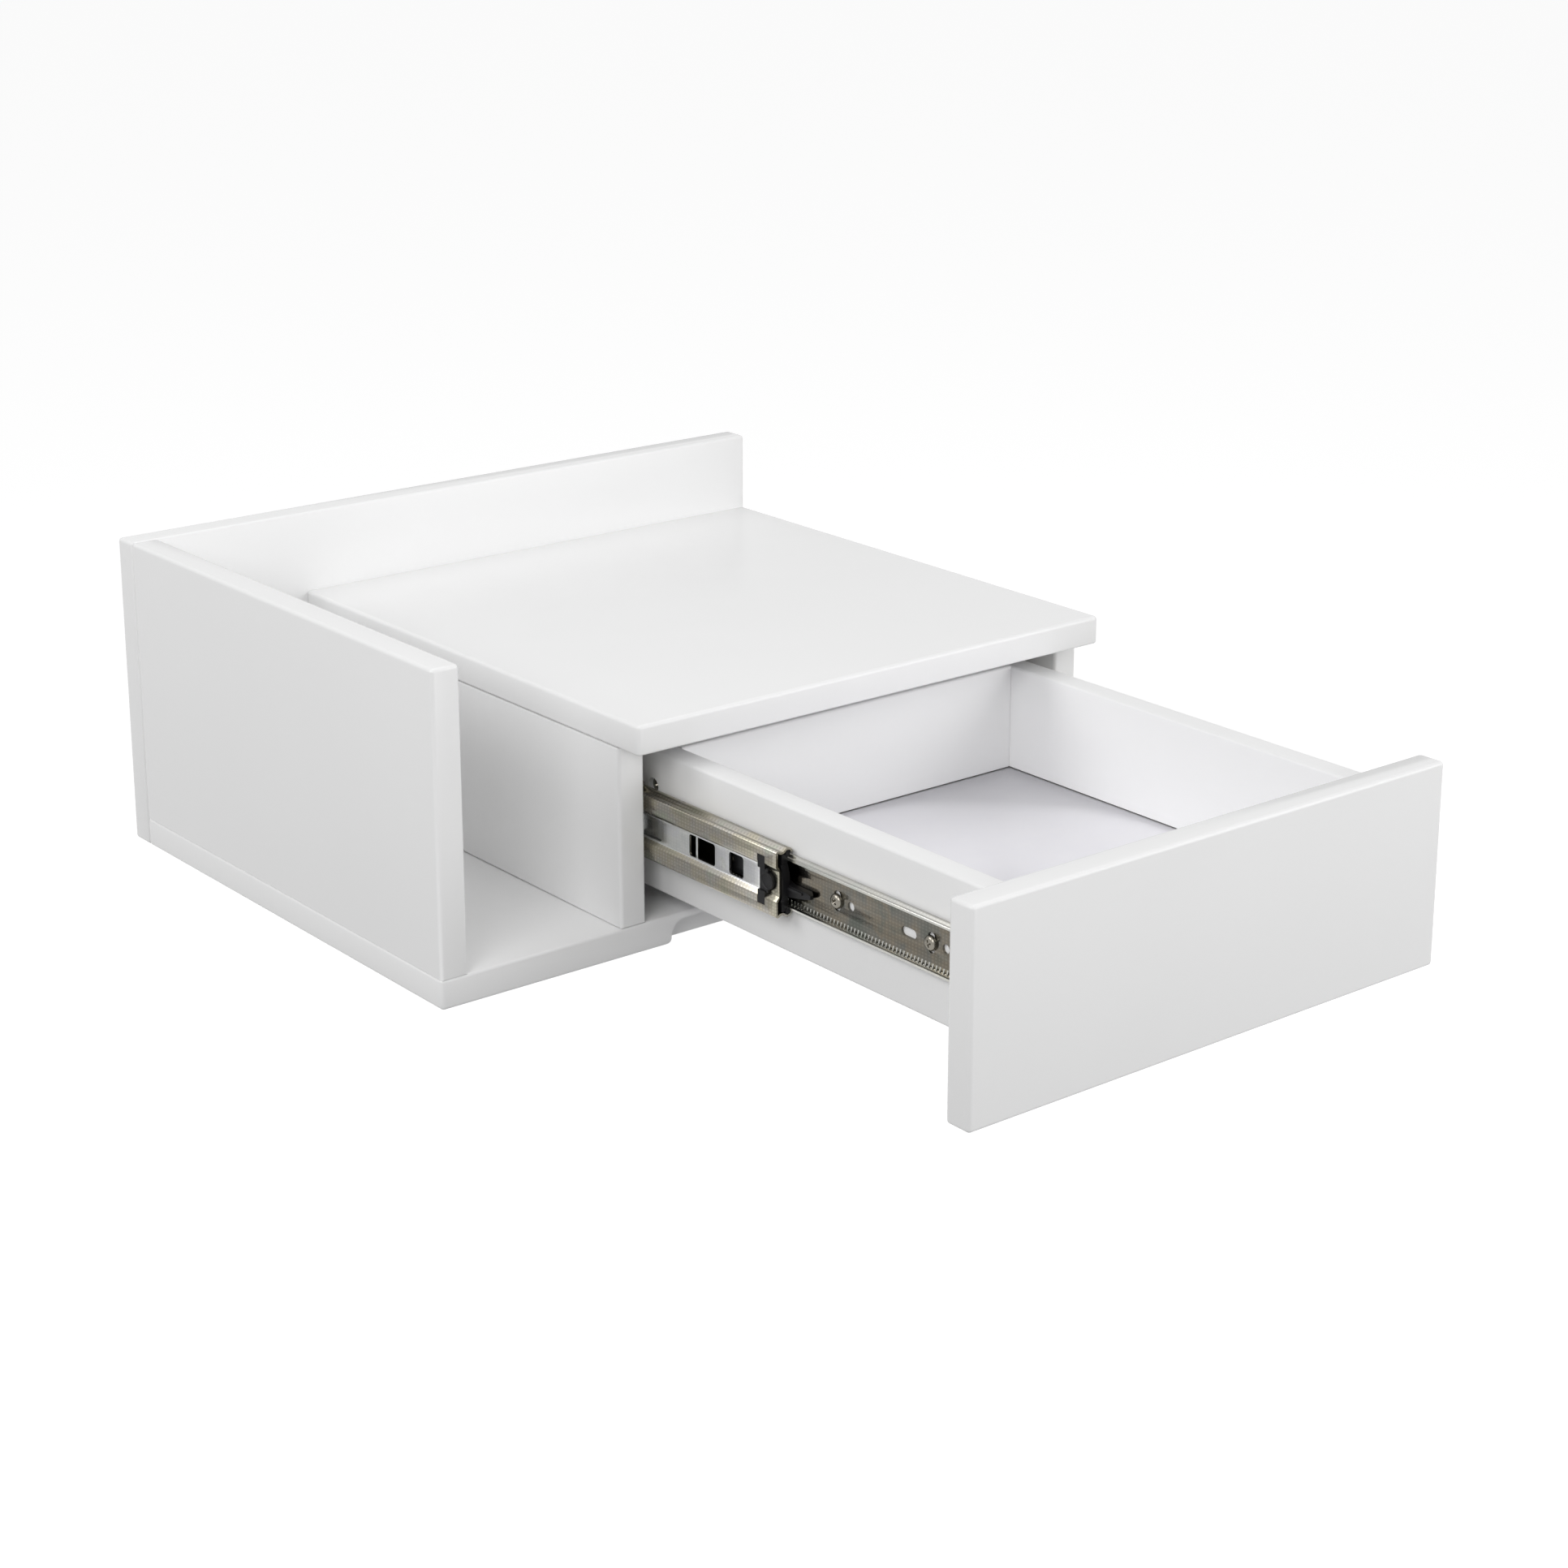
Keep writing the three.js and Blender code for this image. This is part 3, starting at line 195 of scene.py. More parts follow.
# Its tongue's outline: place along, lower and upper edge; and the tip's slant
LEVER_TONGUE = ((LEVER_TIP, -3.2, -1.4), (120.5, -4.0, -0.8), (132.0, -6.4, -0.9))
LEVER_SLANT = 1.8


def linear(code):
    """An sRGB hex colour as linear RGBA."""
    parts = [int(code[i:i + 2], 16) / 255 for i in (0, 2, 4)]
    low = [c / 12.92 for c in parts]
    high = [((c + 0.055) / 1.055) ** 2.4 for c in parts]
    return [h if c > 0.04045 else l for c, l, h in zip(parts, low, high)] + [1.0]


def add_node(material, kind, inputs=None, **settings):
    """Adds a node, sets its properties, and sets or links its inputs."""
    node = material.node_tree.nodes.new(kind)
    for key, value in settings.items():
        setattr(node, key, value)
    for key, value in (inputs or {}).items():
        if isinstance(value, bpy.types.NodeSocket):
            material.node_tree.links.new(value, node.inputs[key])
        else:
            node.inputs[key].default_value = value
    return node


def new_material(name):
    """An empty node material with its object coordinates."""
    material = bpy.data.materials.new(name)
    material.use_nodes = True
    material.node_tree.nodes.clear()
    place = add_node(material, "ShaderNodeTexCoord").outputs["Object"]
    return material, place


def finish_material(material, surface):
    add_node(material, "ShaderNodeOutputMaterial", {"Surface": surface.outputs[0]})
    return material


def white_lacquer():
    """Sprayed satin lacquer on fibreboard: smooth, with a soft mirror and a faint orange peel."""
    m, place = new_material("satin_white_lacquer")
    peel = add_node(m, "ShaderNodeTexNoise", {"Vector": place, "Scale": 1 / (4 * MM), "Detail": 2.0})
    cloud = add_node(m, "ShaderNodeTexNoise", {"Vector": place, "Scale": 1 / (90 * MM), "Detail": 3.0})
    tint = add_node(m, "ShaderNodeMix", {
        "Factor": cloud.outputs["Fac"],
        "A": linear("f1f1f1"),
        "B": linear("f4f4f4"),
    }, data_type="RGBA")
    gloss = add_node(m, "ShaderNodeMapRange", {
        "Value": cloud.outputs["Fac"], "To Min": 0.2, "To Max": 0.27,
    })
    bump = add_node(m, "ShaderNodeBump", {
        "Height": peel.outputs["Fac"], "Strength": 0.25, "Distance": 0.01 * MM,
    })
    return finish_material(m, add_node(m, "ShaderNodeBsdfPrincipled", {
        "Base Color": tint.outputs["Result"],
        "Roughness": gloss.outputs["Result"],
        "Normal": bump.outputs["Normal"],
        "IOR": 1.48,
    }))


def drawer_paint():
    """Roller-coated paint on the drawer box: duller than the outside, with a fine stipple."""
    m, place = new_material("roller_coated_white_paint")
    stipple = add_node(m, "ShaderNodeTexNoise", {
        "Vector": place, "Scale": 1 / (1.5 * MM), "Detail": 3.0,
    })
    cloud = add_node(m, "ShaderNodeTexNoise", {"Vector": place, "Scale": 1 / (60 * MM), "Detail": 3.0})
    tint = add_node(m, "ShaderNodeMix", {
        "Factor": cloud.outputs["Fac"],
        "A": linear("f3f3f3"),
        "B": linear("f5f5f5"),
    }, data_type="RGBA")
    bump = add_node(m, "ShaderNodeBump", {
        "Height": stipple.outputs["Fac"], "Strength": 0.3, "Distance": 0.02 * MM,
    })
    return finish_material(m, add_node(m, "ShaderNodeBsdfPrincipled", {
        "Base Color": tint.outputs["Result"],
        "Roughness": 0.42,
        "Normal": bump.outputs["Normal"],
        "IOR": 1.48,
    }))


def coated_hardboard():
    """Hardboard with a smooth melamine film: cool white and quite glossy."""
    m, place = new_material("melamine_coated_hardboard")
    ripple = add_node(m, "ShaderNodeTexNoise", {"Vector": place, "Scale": 1 / (12 * MM), "Detail": 2.0})
    bump = add_node(m, "ShaderNodeBump", {
        "Height": ripple.outputs["Fac"], "Strength": 0.2, "Distance": 0.02 * MM,
    })
    tint = add_node(m, "ShaderNodeMix", {
        "Factor": ripple.outputs["Fac"],
        "A": linear("f5f4fa"),
        "B": linear("f8f7fb"),
    }, data_type="RGBA")
    return finish_material(m, add_node(m, "ShaderNodeBsdfPrincipled", {
        "Base Color": tint.outputs["Result"],
        "Roughness": 0.16,
        "Normal": bump.outputs["Normal"],
        "IOR": 1.5,
    }))


def bands(material, place, direction, period):
    """Even bands across a direction, one to each period in millimetres."""
    return add_node(material, "ShaderNodeTexWave", {
        "Vector": place, "Scale": math.tau / 20 / (period * MM), "Distortion": 0.0,
    }, bands_direction=direction).outputs["Fac"]


def plated_steel(name, colours, roughness, knurl):
    """Cold-rolled steel, zinc plated: a warm grey with a faint rainbow of the passivation, and
    the fine grid that the rolls leave. The real grid is about 0.7 mm; it is drawn two to three
    times as coarse so that it still shows from a distance."""
    m, place = new_material(name)
    cloud = add_node(m, "ShaderNodeTexNoise", {
        "Vector": place, "Scale": 1 / (16 * MM), "Detail": 4.0, "Roughness": 0.55,
    })
    ramp = add_node(m, "ShaderNodeValToRGB", {"Fac": cloud.outputs["Fac"]})
    stops = ramp.color_ramp.elements
    stops[0].position = 0.32
    stops[1].position = 0.68
    for share in (0.44, 0.56):
        stops.new(share)
    for stop, colour in zip(stops, colours):
        stop.color = linear(colour)
    grid = add_node(m, "ShaderNodeMath", {
        0: bands(m, place, "Y", KNURL[0]), 1: bands(m, place, "Z", KNURL[1]),
    }, operation="MULTIPLY")
    shade = add_node(m, "ShaderNodeMapRange", {
        "Value": grid.outputs["Value"], "To Min": 1.0 - knurl, "To Max": 1.0,
    })
    tint = add_node(m, "ShaderNodeVectorMath", {
        0: ramp.outputs["Color"], "Scale": shade.outputs["Result"],
    }, operation="SCALE")
    bump = add_node(m, "ShaderNodeBump", {
        "Height": grid.outputs["Value"], "Strength": 0.35, "Distance": 0.04 * MM,
    })
    gloss = add_node(m, "ShaderNodeMapRange", {
        "Value": cloud.outputs["Fac"], "To Min": roughness - 0.05, "To Max": roughness + 0.05,
    })
    return finish_material(m, add_node(m, "ShaderNodeBsdfPrincipled", {
        "Base Color": tint.outputs["Vector"],
        "Metallic": 1.0,
        "Roughness": gloss.outputs["Result"],
        "Normal": bump.outputs["Normal"],
    }))


def bearing_steel():
    """Ground and polished bearing balls: a clear mirror with the finest of scratches."""
    m, place = new_material("polished_bearing_steel")
    grain = add_node(m, "ShaderNodeTexNoise", {"Vector": place, "Scale": 1 / (0.4 * MM), "Detail": 2.0})
    gloss = add_node(m, "ShaderNodeMapRange", {
        "Value": grain.outputs["Fac"], "To Min": 0.06, "To Max": 0.16,
    })
    return finish_material(m, add_node(m, "ShaderNodeBsdfPrincipled", {
        "Base Color": linear("c4c4c2"),
        "Metallic": 1.0,
        "Roughness": gloss.outputs["Result"],
    }))


def nickel_steel():
    """Nickel-plated hardened steel: bright, a little yellow."""
    m, place = new_material("nickel_plated_screw_steel")
    grain = add_node(m, "ShaderNodeTexNoise", {"Vector": place, "Scale": 1 / (0.8 * MM), "Detail": 3.0})
    gloss = add_node(m, "ShaderNodeMapRange", {
        "Value": grain.outputs["Fac"], "To Min": 0.15, "To Max": 0.32,
    })
    return finish_material(m, add_node(m, "ShaderNodeBsdfPrincipled", {
        "Base Color": linear("8a867d"),
        "Metallic": 1.0,
        "Roughness": gloss.outputs["Result"],
    }))


def black_acetal():
    """Moulded black acetal: dark, with a low even gloss and a fine spark-eroded grain."""
    m, place = new_material("moulded_black_acetal")
    grain = add_node(m, "ShaderNodeTexNoise", {"Vector": place, "Scale": 1 / (0.5 * MM), "Detail": 2.0})
    bump = add_node(m, "ShaderNodeBump", {
        "Height": grain.outputs["Fac"], "Strength": 0.4, "Distance": 0.02 * MM,
    })
    return finish_material(m, add_node(m, "ShaderNodeBsdfPrincipled", {
        "Base Color": linear("101012"),
        "Roughness": 0.48,
        "Specular IOR Level": 0.3,
        "Normal": bump.outputs["Normal"],
        "IOR": 1.48,
    }))


def raw_fibreboard():
    """Sawn medium-density fibreboard, bare in the groove: dark brown and matt, with fine fibres."""
    m, place = new_material("sawn_fibreboard")
    fibre = add_node(m, "ShaderNodeTexNoise", {"Vector": place, "Scale": 1 / (0.6 * MM), "Detail": 4.0})
    tint = add_node(m, "ShaderNodeMix", {
        "Factor": fibre.outputs["Fac"],
        "A": linear("33291f"),
        "B": linear("5c4c3c"),
    }, data_type="RGBA")
    return finish_material(m, add_node(m, "ShaderNodeBsdfPrincipled", {
        "Base Color": tint.outputs["Result"],
        "Roughness": 0.9,
    }))


def beech():
    """Turned beech dowel: pale pinkish brown with short dark flecks along the grain."""
    m, place = new_material("turned_beech")
    stretched = add_node(m, "ShaderNodeMapping", {"Vector": place, "Scale": (1.0, 0.15, 0.15)})
    fleck = add_node(m, "ShaderNodeTexNoise", {
        "Vector": stretched.outputs["Vector"], "Scale": 1 / (1 * MM), "Detail": 3.0,
    })
    tint = add_node(m, "ShaderNodeMix", {
        "Factor": fleck.outputs["Fac"],
        "A": linear("c39a6b"),
        "B": linear("d7b48a"),
    }, data_type="RGBA")
    return finish_material(m, add_node(m, "ShaderNodeBsdfPrincipled", {
        "Base Color": tint.outputs["Result"],
        "Roughness": 0.65,
    }))


LACQUER = white_lacquer()
PAINT = drawer_paint()
FLOOR_SHEET = coated_hardboard()
ZINC = plated_steel("zinc_plated_steel_sheet", ["b3b1a0", "bab4a4", "b5b1aa", "aeb3a4"], 0.27, 0.26)
# A lighter copy of the zinc: a painted sheen on the middle rail's web and on the ball cages
SHEEN_ZINC = plated_steel("zinc_plated_steel_web", ["d6d9d8", "dfe0de", "d9dadd", "dcddd8"], 0.26, 0.08)
DARK_ZINC = plated_steel("zinc_plated_strip_in_shade", ["6b6c65", "7b7468", "6f6e68", "636660"],
                         0.17, 0.25)
# A lighter copy of the zinc: a painted highlight on the drawer rail's lips and ribs
HIGHLIGHT_ZINC = plated_steel("burnished_zinc_lip", ["bcbcb5", "c3c2bb", "bebdb9", "b9bcb6"], 0.24, 0.05)
BALL_STEEL = bearing_steel()
NICKEL = nickel_steel()
ACETAL = black_acetal()
FIBREBOARD = raw_fibreboard()
BEECH = beech()


def select_only(obj):
    bpy.ops.object.select_all(action="DESELECT")
    obj.select_set(True)
    bpy.context.view_layer.objects.active = obj


def settle(obj):
    """Puts the object's place, turn and scale into its mesh."""
    select_only(obj)
    bpy.ops.object.transform_apply(location=True, rotation=True, scale=True)


def newest(name):
    """The primitive that was just added, named and settled."""
    obj = bpy.context.active_object
    obj.name = name
    settle(obj)
    return obj


def corners(node):
    """A node's lowest and highest corners, in millimetres."""
    return [Vector(corner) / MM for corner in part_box(node)]


def middle_of(node):
    low, high = corners(node)
    return (low + high) / 2


def block(name, low, high):
    """A box between two corners, given in millimetres."""
    low, high = Vector(low) * MM, Vector(high) * MM
    bpy.ops.object.select_all(action="DESELECT")
    bpy.ops.mesh.primitive_cube_add(size=1, location=(low + high) / 2)
    bpy.context.active_object.scale = high - low
    return newest(name)


def face_outwards():
    """Ends edit mode with every face pointing out."""
    bpy.ops.mesh.select_all(action="SELECT")
    bpy.ops.mesh.normals_make_consistent(inside=False)
    bpy.ops.object.mode_set(mode="OBJECT")


def turned(name, profile, sides=ROUND_SIDES):
    """A turned solid on the Z axis, drawn up ring by ring; the profile holds radius and height."""
    radius, height = profile[0]
    bpy.ops.object.select_all(action="DESELECT")
    bpy.ops.mesh.primitive_circle_add(
        vertices=sides, radius=radius * MM, fill_type="NGON", location=(0, 0, height * MM))
    obj = newest(name)
    bpy.ops.object.mode_set(mode="EDIT")
    bpy.ops.mesh.select_all(action="SELECT")
    for next_radius, next_height in profile[1:]:
        rise = (0, 0, (next_height - height) * MM)
        bpy.ops.mesh.extrude_region_move(TRANSFORM_OT_translate={"value": rise})
        share = next_radius / radius
        bpy.ops.transform.resize(value=(share, share, 1), center_override=(0, 0, next_height * MM))
        radius, height = next_radius, next_height
    face_outwards()
    return obj


def pick(obj, test):
    """In edit mode, selects the vertices whose place in millimetres passes the test."""
    bpy.ops.mesh.select_mode(type="VERT")
    bpy.ops.mesh.select_all(action="DESELECT")
    mesh = bmesh.from_edit_mesh(obj.data)
    for vertex in mesh.verts:
        vertex.select_set(test(vertex.co / MM))
    mesh.select_flush(True)
    bmesh.update_edit_mesh(obj.data)


def apply_all(obj):
    select_only(obj)
    for modifier in list(obj.modifiers):
        bpy.ops.object.modifier_apply(modifier=modifier.name)


def smooth(obj, angle=BOARD_SMOOTH):
    select_only(obj)
    bpy.ops.object.shade_smooth_by_angle(angle=math.radians(angle))


def combine(obj, other, operation):
    modifier = obj.modifiers.new("combined", "BOOLEAN")
    modifier.object = other
    modifier.operation = operation
    modifier.solver = "EXACT"
    apply_all(obj)
    bpy.data.objects.remove(other)


def cut(obj, *cutters):
    """Takes solids out of another, and removes them."""
    for cutter in cutters:
        combine(obj, cutter, "DIFFERENCE")


def join(obj, *others):
    """Makes one solid of several."""
    for other in others:
        combine(obj, other, "UNION")


def weigh_edges(obj, weight_of):
    """Gives each edge its share of the bevel's width, by its two ends in millimetres."""
    mesh = obj.data
    weights = mesh.attributes.new("bevel_weight_edge", "FLOAT", "EDGE")
    for edge in mesh.edges:
        a, b = [mesh.vertices[i].co / MM for i in edge.vertices]
        weights.data[edge.index].value = weight_of(a, b)


def ease_edges(obj, width, segments=EDGE_SEGMENTS, limit="WEIGHT", angle=30):
    """Rounds the weighted edges, or with the limit ANGLE all that are sharper than an angle."""
    modifier = obj.modifiers.new("eased_edges", "BEVEL")
    modifier.width = width * MM
    modifier.segments = segments
    modifier.limit_method = limit
    modifier.angle_limit = math.radians(angle)
    modifier.use_clamp_overlap = limit == "ANGLE"
    apply_all(obj)


def break_edges(obj, width, segments=2, angle=40):
    ease_edges(obj, width, segments, "ANGLE", angle)


def round_along(obj, axis, width, segments=EDGE_SEGMENTS):
    """Rounds the edges of a box that run along an axis."""
    weigh_edges(obj, lambda a, b: float(abs(a[axis] - b[axis]) > 0.5))
    ease_edges(obj, width, segments)


def copied(source, name, place=(0, 0, 0), direction=(0, 0, 1), turn=0):
    """A copy with its own mesh, its Z axis laid along a direction at a place in millimetres."""
    obj = bpy.data.objects.new(name, source.data.copy())
    bpy.context.scene.collection.objects.link(obj)
    lay = Vector((0, 0, 1)).rotation_difference(Vector(direction)).to_matrix().to_4x4()
    spin = Matrix.Rotation(math.radians(turn), 4, "Z")
    obj.matrix_world = Matrix.Translation(Vector(place) * MM) @ lay @ spin
    settle(obj)
    return obj


def laid(name, profile, place, direction, sides=ROUND_SIDES):
    """A turned solid with its axis along a direction, from a place."""
    upright = turned(name + "_upright", profile, sides)
    obj = copied(upright, name, place, direction)
    bpy.data.objects.remove(upright)
    return obj


def keep(obj, body, slot, materials, *replaced):
    """Gives a finished piece its materials and its body, hides the nodes that it stands for, and keeps
    its slot with them in a table.
    """
    for material in materials[len(obj.data.materials):]:
        obj.data.materials.append(material)
    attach(obj, body)
    if replaced:
        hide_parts(*replaced)
    kept[obj.name] = (obj, body, slot, materials, replaced)
    return obj


def twin(name):
    """The right-hand twin of a piece on the drawer's left, mirrored across the drawer's middle."""
    source, body, slot, materials, replaced = kept[name]
    obj = bpy.data.objects.new(name.replace("left", "right"), source.data.copy())
    bpy.context.scene.collection.objects.link(obj)
    obj.location.x = 2 * middle_of("drawer_bottom").x * MM
    obj.scale.x = -1
    settle(obj)
    bpy.ops.object.mode_set(mode="EDIT")
    face_outwards()
    smooth(obj, METAL_SMOOTH)
    others = [node.replace("left", "right") for node in replaced]
    keep(obj, body.replace("left", "right"), slot, materials, *others)


# A board's faces, as an axis and an end: 0 for its low end, 1 for its high
FRONT, BACK, BELOW, ABOVE = (1, 0), (1, 1), (2, 0), (2, 1)
LEFT, RIGHT = (0, 0), (0, 1)


def on_face(a, b, axis, value):
    return abs(a[axis] - value) < 0.001 and abs(b[axis] - value) < 0.001


def board(name, node, joined=(), slim=(), edge=FREE_EDGE, parted=(), wide=()):
    """A board at a node's place: its free edges rounded, those of slim faces less, and those of
    faces that lie against another board only just broken. Parted faces leave an open joint, and
    the edge where the two wide faces meet is rounded more."""
    ends = corners(node)
    for axis, end in parted:
        ends[end][axis] += JOINT_GAP * (1 - 2 * end)
    obj = block(name, *ends)

    def radius(a, b):
        faces = [(axis, end) for axis in range(3) for end in (0, 1)
                 if on_face(a, b, axis, ends[end][axis])]
        if wide and all(face in faces for face in wide):
            return WIDE_EDGE
        if any(face in faces for face in joined):
            return JOINT_EDGE
        return SLIM_EDGE if any(face in faces for face in slim) else edge

    widest = WIDE_EDGE if wide else edge
    weigh_edges(obj, lambda a, b: radius(a, b) / widest)
    ease_edges(obj, widest)
    return obj


def recess_cutter():
    """The finger recess: a rounded trough, open to the front and through the underside."""
    low = corners("bottom_panel")[0]
    start, end = RECESS_ENDS
    front, rear = low.y - RECESS_OVERRUN[0], low.y + RECESS_DEPTH
    under, top = low.z - RECESS_OVERRUN[1], low.z + RECESS_HEIGHT
    cutter = block("recess", (start, front, under), (end, rear, top))
    weigh_edges(cutter, lambda a, b: float(min(a.z, b.z) > top - 1 and abs(a.y - b.y) > 1))
    ease_edges(cutter, RECESS_CORNER, 8)
    for x, side in ((start, -1), (end, 1)):
        lip = block("lip", (x - RECESS_LIP, front, under), (x + RECESS_LIP, rear, low.z + RECESS_LIP))
        rim = (x + side * RECESS_LIP, 0, low.z + RECESS_LIP)
        cut(lip, laid("rim", [(RECESS_LIP, front - 1), (RECESS_LIP, rear + 1)], rim, (0, 1, 0)))
        join(cutter, lip)
    return cutter


def screw_profile(kind, grow=0.0):
    """A flat-headed screw's radius and height, from its tip up to its face."""
    head, head_height, shank, length, tip = kind
    return [
        (0.2, -length - grow),
        (shank + grow, tip - length - grow),
        (shank + grow, -head_height - grow),
        (head + grow, -0.3),
        (head + grow, 0.0),
    ]


def flat_hole(kind, place, direction, sink=0.0):
    """A countersunk hole for a screw, opened out through the face above it; a sunk one wider."""
    mouth = kind[0] + (BOX_SCREW_HOLE if sink else SEAT_GAP)
    profile = screw_profile(kind, SEAT_GAP)[:-1] + [(mouth, 0.0), (mouth, sink + 2)]
    return laid("hole", profile, place, direction)


def bore(radius, depth, place, direction, rise=1.0):
    return laid("bore", [(radius, -depth), (radius, rise)], place, direction)


def face_of(node, direction):
    """The middle of a node's end in a direction: where a screw's head shows."""
    low, high = corners(node)
    place = (low + high) / 2
    for axis in range(3):
        if direction[axis]:
            place[axis] = (high if direction[axis] > 0 else low)[axis]
    return place


UP, DOWN, WALLWARD = (0, 0, 1), (0, 0, -1), (0, 1, 0)
OUT_LEFT, OUT_RIGHT = (-1, 0, 0), (1, 0, 0)


def numbered(stems, tail, numbers=(1, 2)):
    return [f"{stem}_{tail}_{number}" for stem in stems for number in numbers]


BASE_SCREWS = numbered(("left_side", "divider", "right_side"), "base_screw")
BACK_SCREWS = [f"{where}_back_screw" for where in ("left_side", "divider", "right_side")]
HANGER_SCREWS = numbered(("left", "right"), "hanger_screw", ("upper", "lower"))
TOP_DOWELS = numbered(("divider", "right_side"), "top_dowel")
FRONT_DOWELS = numbered(("left", "right"), "front_dowel", ("lower", "upper"))


def drill(obj, screws, kind, direction, sink=0.0):
    """Holes for screws, whose faces lie below the board's own by the sink."""
    for screw in screws:
        place = face_of(screw, direction) - Vector(direction) * max(0.0, sink - 1)
        cut(obj, flat_hole(kind, place, direction, sink))


def peg_hole(obj, dowels, radius, direction):
    """Blind holes for dowels, from end to end of each."""
    axis = [abs(part) for part in direction].index(1)
    for dowel in dowels:
        low, high = corners(dowel)
        half = (high - low)[axis] / 2 + SEAT_GAP
        cut(obj, bore(radius + SEAT_GAP, half, middle_of(dowel), direction, half))


def starting_with(names, start):
    return [name for name in names if name.startswith(start)]


def pocket(side):
    """The housing of a hanger plate, and the deeper pocket behind its keyhole."""
    low, high = corners(side + "_hanger_plate")
    shallow = block("housing", low - Vector((SEAT_GAP, 0, SEAT_GAP)),
                    high + Vector((SEAT_GAP, 5, SEAT_GAP)))
    round_along(shallow, 1, PLATE_CORNER)
    width, depth, height = POCKET
    centre = (low + high) / 2
    deep = block("head_room", (centre.x - width / 2, high.y - depth, centre.z - height / 2),
                 (centre.x + width / 2, high.y + 1, centre.z + height / 2))
    round_along(deep, 1, width * ROUND_END, 8)
    return shallow, deep


def carcass():
    back = board("back_board", "back_panel", slim=[FRONT], wide=[RIGHT, BACK])
    drill(back, BACK_SCREWS, BOARD_SCREW, WALLWARD)
    for side in ("left", "right"):
        cut(back, *pocket(side))
    drill(back, HANGER_SCREWS, PLATE_SCREW, WALLWARD)
    left = board("left_side_board", "left_side_panel", [BELOW], slim=[BACK], parted=[BACK])
    bottom = board("bottom_board", "bottom_panel", slim=[ABOVE, BACK], parted=[BACK])
    drill(bottom, BASE_SCREWS, BOARD_SCREW, DOWN)
    cut(bottom, recess_cutter())
    divider = board("divider_board", "divider_panel", [BACK, BELOW, ABOVE], parted=[BELOW, ABOVE])
    right = board("right_side_board", "right_side_panel", [BACK, BELOW, ABOVE], parted=[BELOW, ABOVE])
    for obj, start in ((left, "left_side"), (divider, "divider"), (right, "right_side")):
        drill(obj, starting_with(BASE_SCREWS, start), BOARD_SCREW, DOWN)
        drill(obj, starting_with(BACK_SCREWS, start), BOARD_SCREW, WALLWARD)
        peg_hole(obj, starting_with(TOP_DOWELS, start), TOP_DOWEL_RADIUS, UP)
    top = board("top_board", "top_panel", [BACK], slim=[BELOW])
    peg_hole(top, TOP_DOWELS, TOP_DOWEL_RADIUS, UP)
    for obj, node in ((back, "back_panel"), (left, "left_side_panel"), (bottom, "bottom_panel"),
                      (divider, "divider_panel"), (right, "right_side_panel"), (top, "top_panel")):
        smooth(obj)
        keep(obj, "cabinet", "white_lacquer", [LACQUER], node)


def groove_corners():
    """The groove round the drawer's floor, open a little above it."""
    low, high = corners("drawer_bottom")
    return low - Vector((SEAT_GAP, SEAT_GAP, 0)), high + Vector((SEAT_GAP, SEAT_GAP, GROOVE_GAP))


def groove():
    return block("groove", *groove_corners())


def bare_groove(obj):
    """Shows the bare board, the second material, on the faces within the floor's groove."""
    low, high = groove_corners()
    for face in obj.data.polygons:
        centre = face.center / MM
        if all(low[i] - GROOVE_REACH <= centre[i] <= high[i] + GROOVE_REACH for i in range(3)):
            face.material_index = 1


def drawer():
    front = board("drawer_front_board", "drawer_front", wide=[RIGHT, BACK])
    cut(front, groove())
    peg_hole(front, FRONT_DOWELS, FRONT_DOWEL_RADIUS, WALLWARD)
    smooth(front)
    keep(front, "drawer", "white_lacquer", [LACQUER, FIBREBOARD], "drawer_front")
    bare_groove(front)
    side = board("drawer_left_side_board", "drawer_left_side", [FRONT], edge=DRAWER_EDGE)
    back = board("drawer_back_board", "drawer_back", [LEFT, RIGHT], edge=DRAWER_EDGE)
    cut(side, groove())
    cut(back, groove())
    peg_hole(side, starting_with(FRONT_DOWELS, "left"), FRONT_DOWEL_RADIUS, WALLWARD)
    left_screws = numbered(["left"], "drawer_back_screw", ("upper", "lower"))
    right_screws = numbered(["right"], "drawer_back_screw", ("upper", "lower"))
    drill(side, left_screws, BOX_SCREW, OUT_LEFT, BOX_SCREW_SINK)
    drill(back, left_screws, BOX_SCREW, OUT_LEFT)
    drill(back, right_screws, BOX_SCREW, OUT_RIGHT)
    smooth(side)
    smooth(back)
    keep(back, "drawer", "drawer_lacquer", [PAINT, FIBREBOARD], "drawer_back")
    keep(side, "drawer", "drawer_lacquer", [PAINT, FIBREBOARD], "drawer_left_side")
    bare_groove(back)
    bare_groove(side)
    twin("drawer_left_side_board")
    floor_sheet = block("drawer_floor_sheet", *corners("drawer_bottom"))
    break_edges(floor_sheet, HARDBOARD_EDGE, 2, 30)
    smooth(floor_sheet)
    keep(floor_sheet, "drawer", "drawer_floor_sheet", [FLOOR_SHEET], "drawer_bottom")


# The runner on the drawer's left, in its own section
CABINET_FACE = corners("divider_panel")[1].x
RUNNER_LEVEL = middle_of("left_cabinet_rail").z


def on_runner(depth, along, height):
    """A place on the left runner, in millimetres."""
    return Vector((CABINET_FACE + depth, along, RUNNER_LEVEL + height))


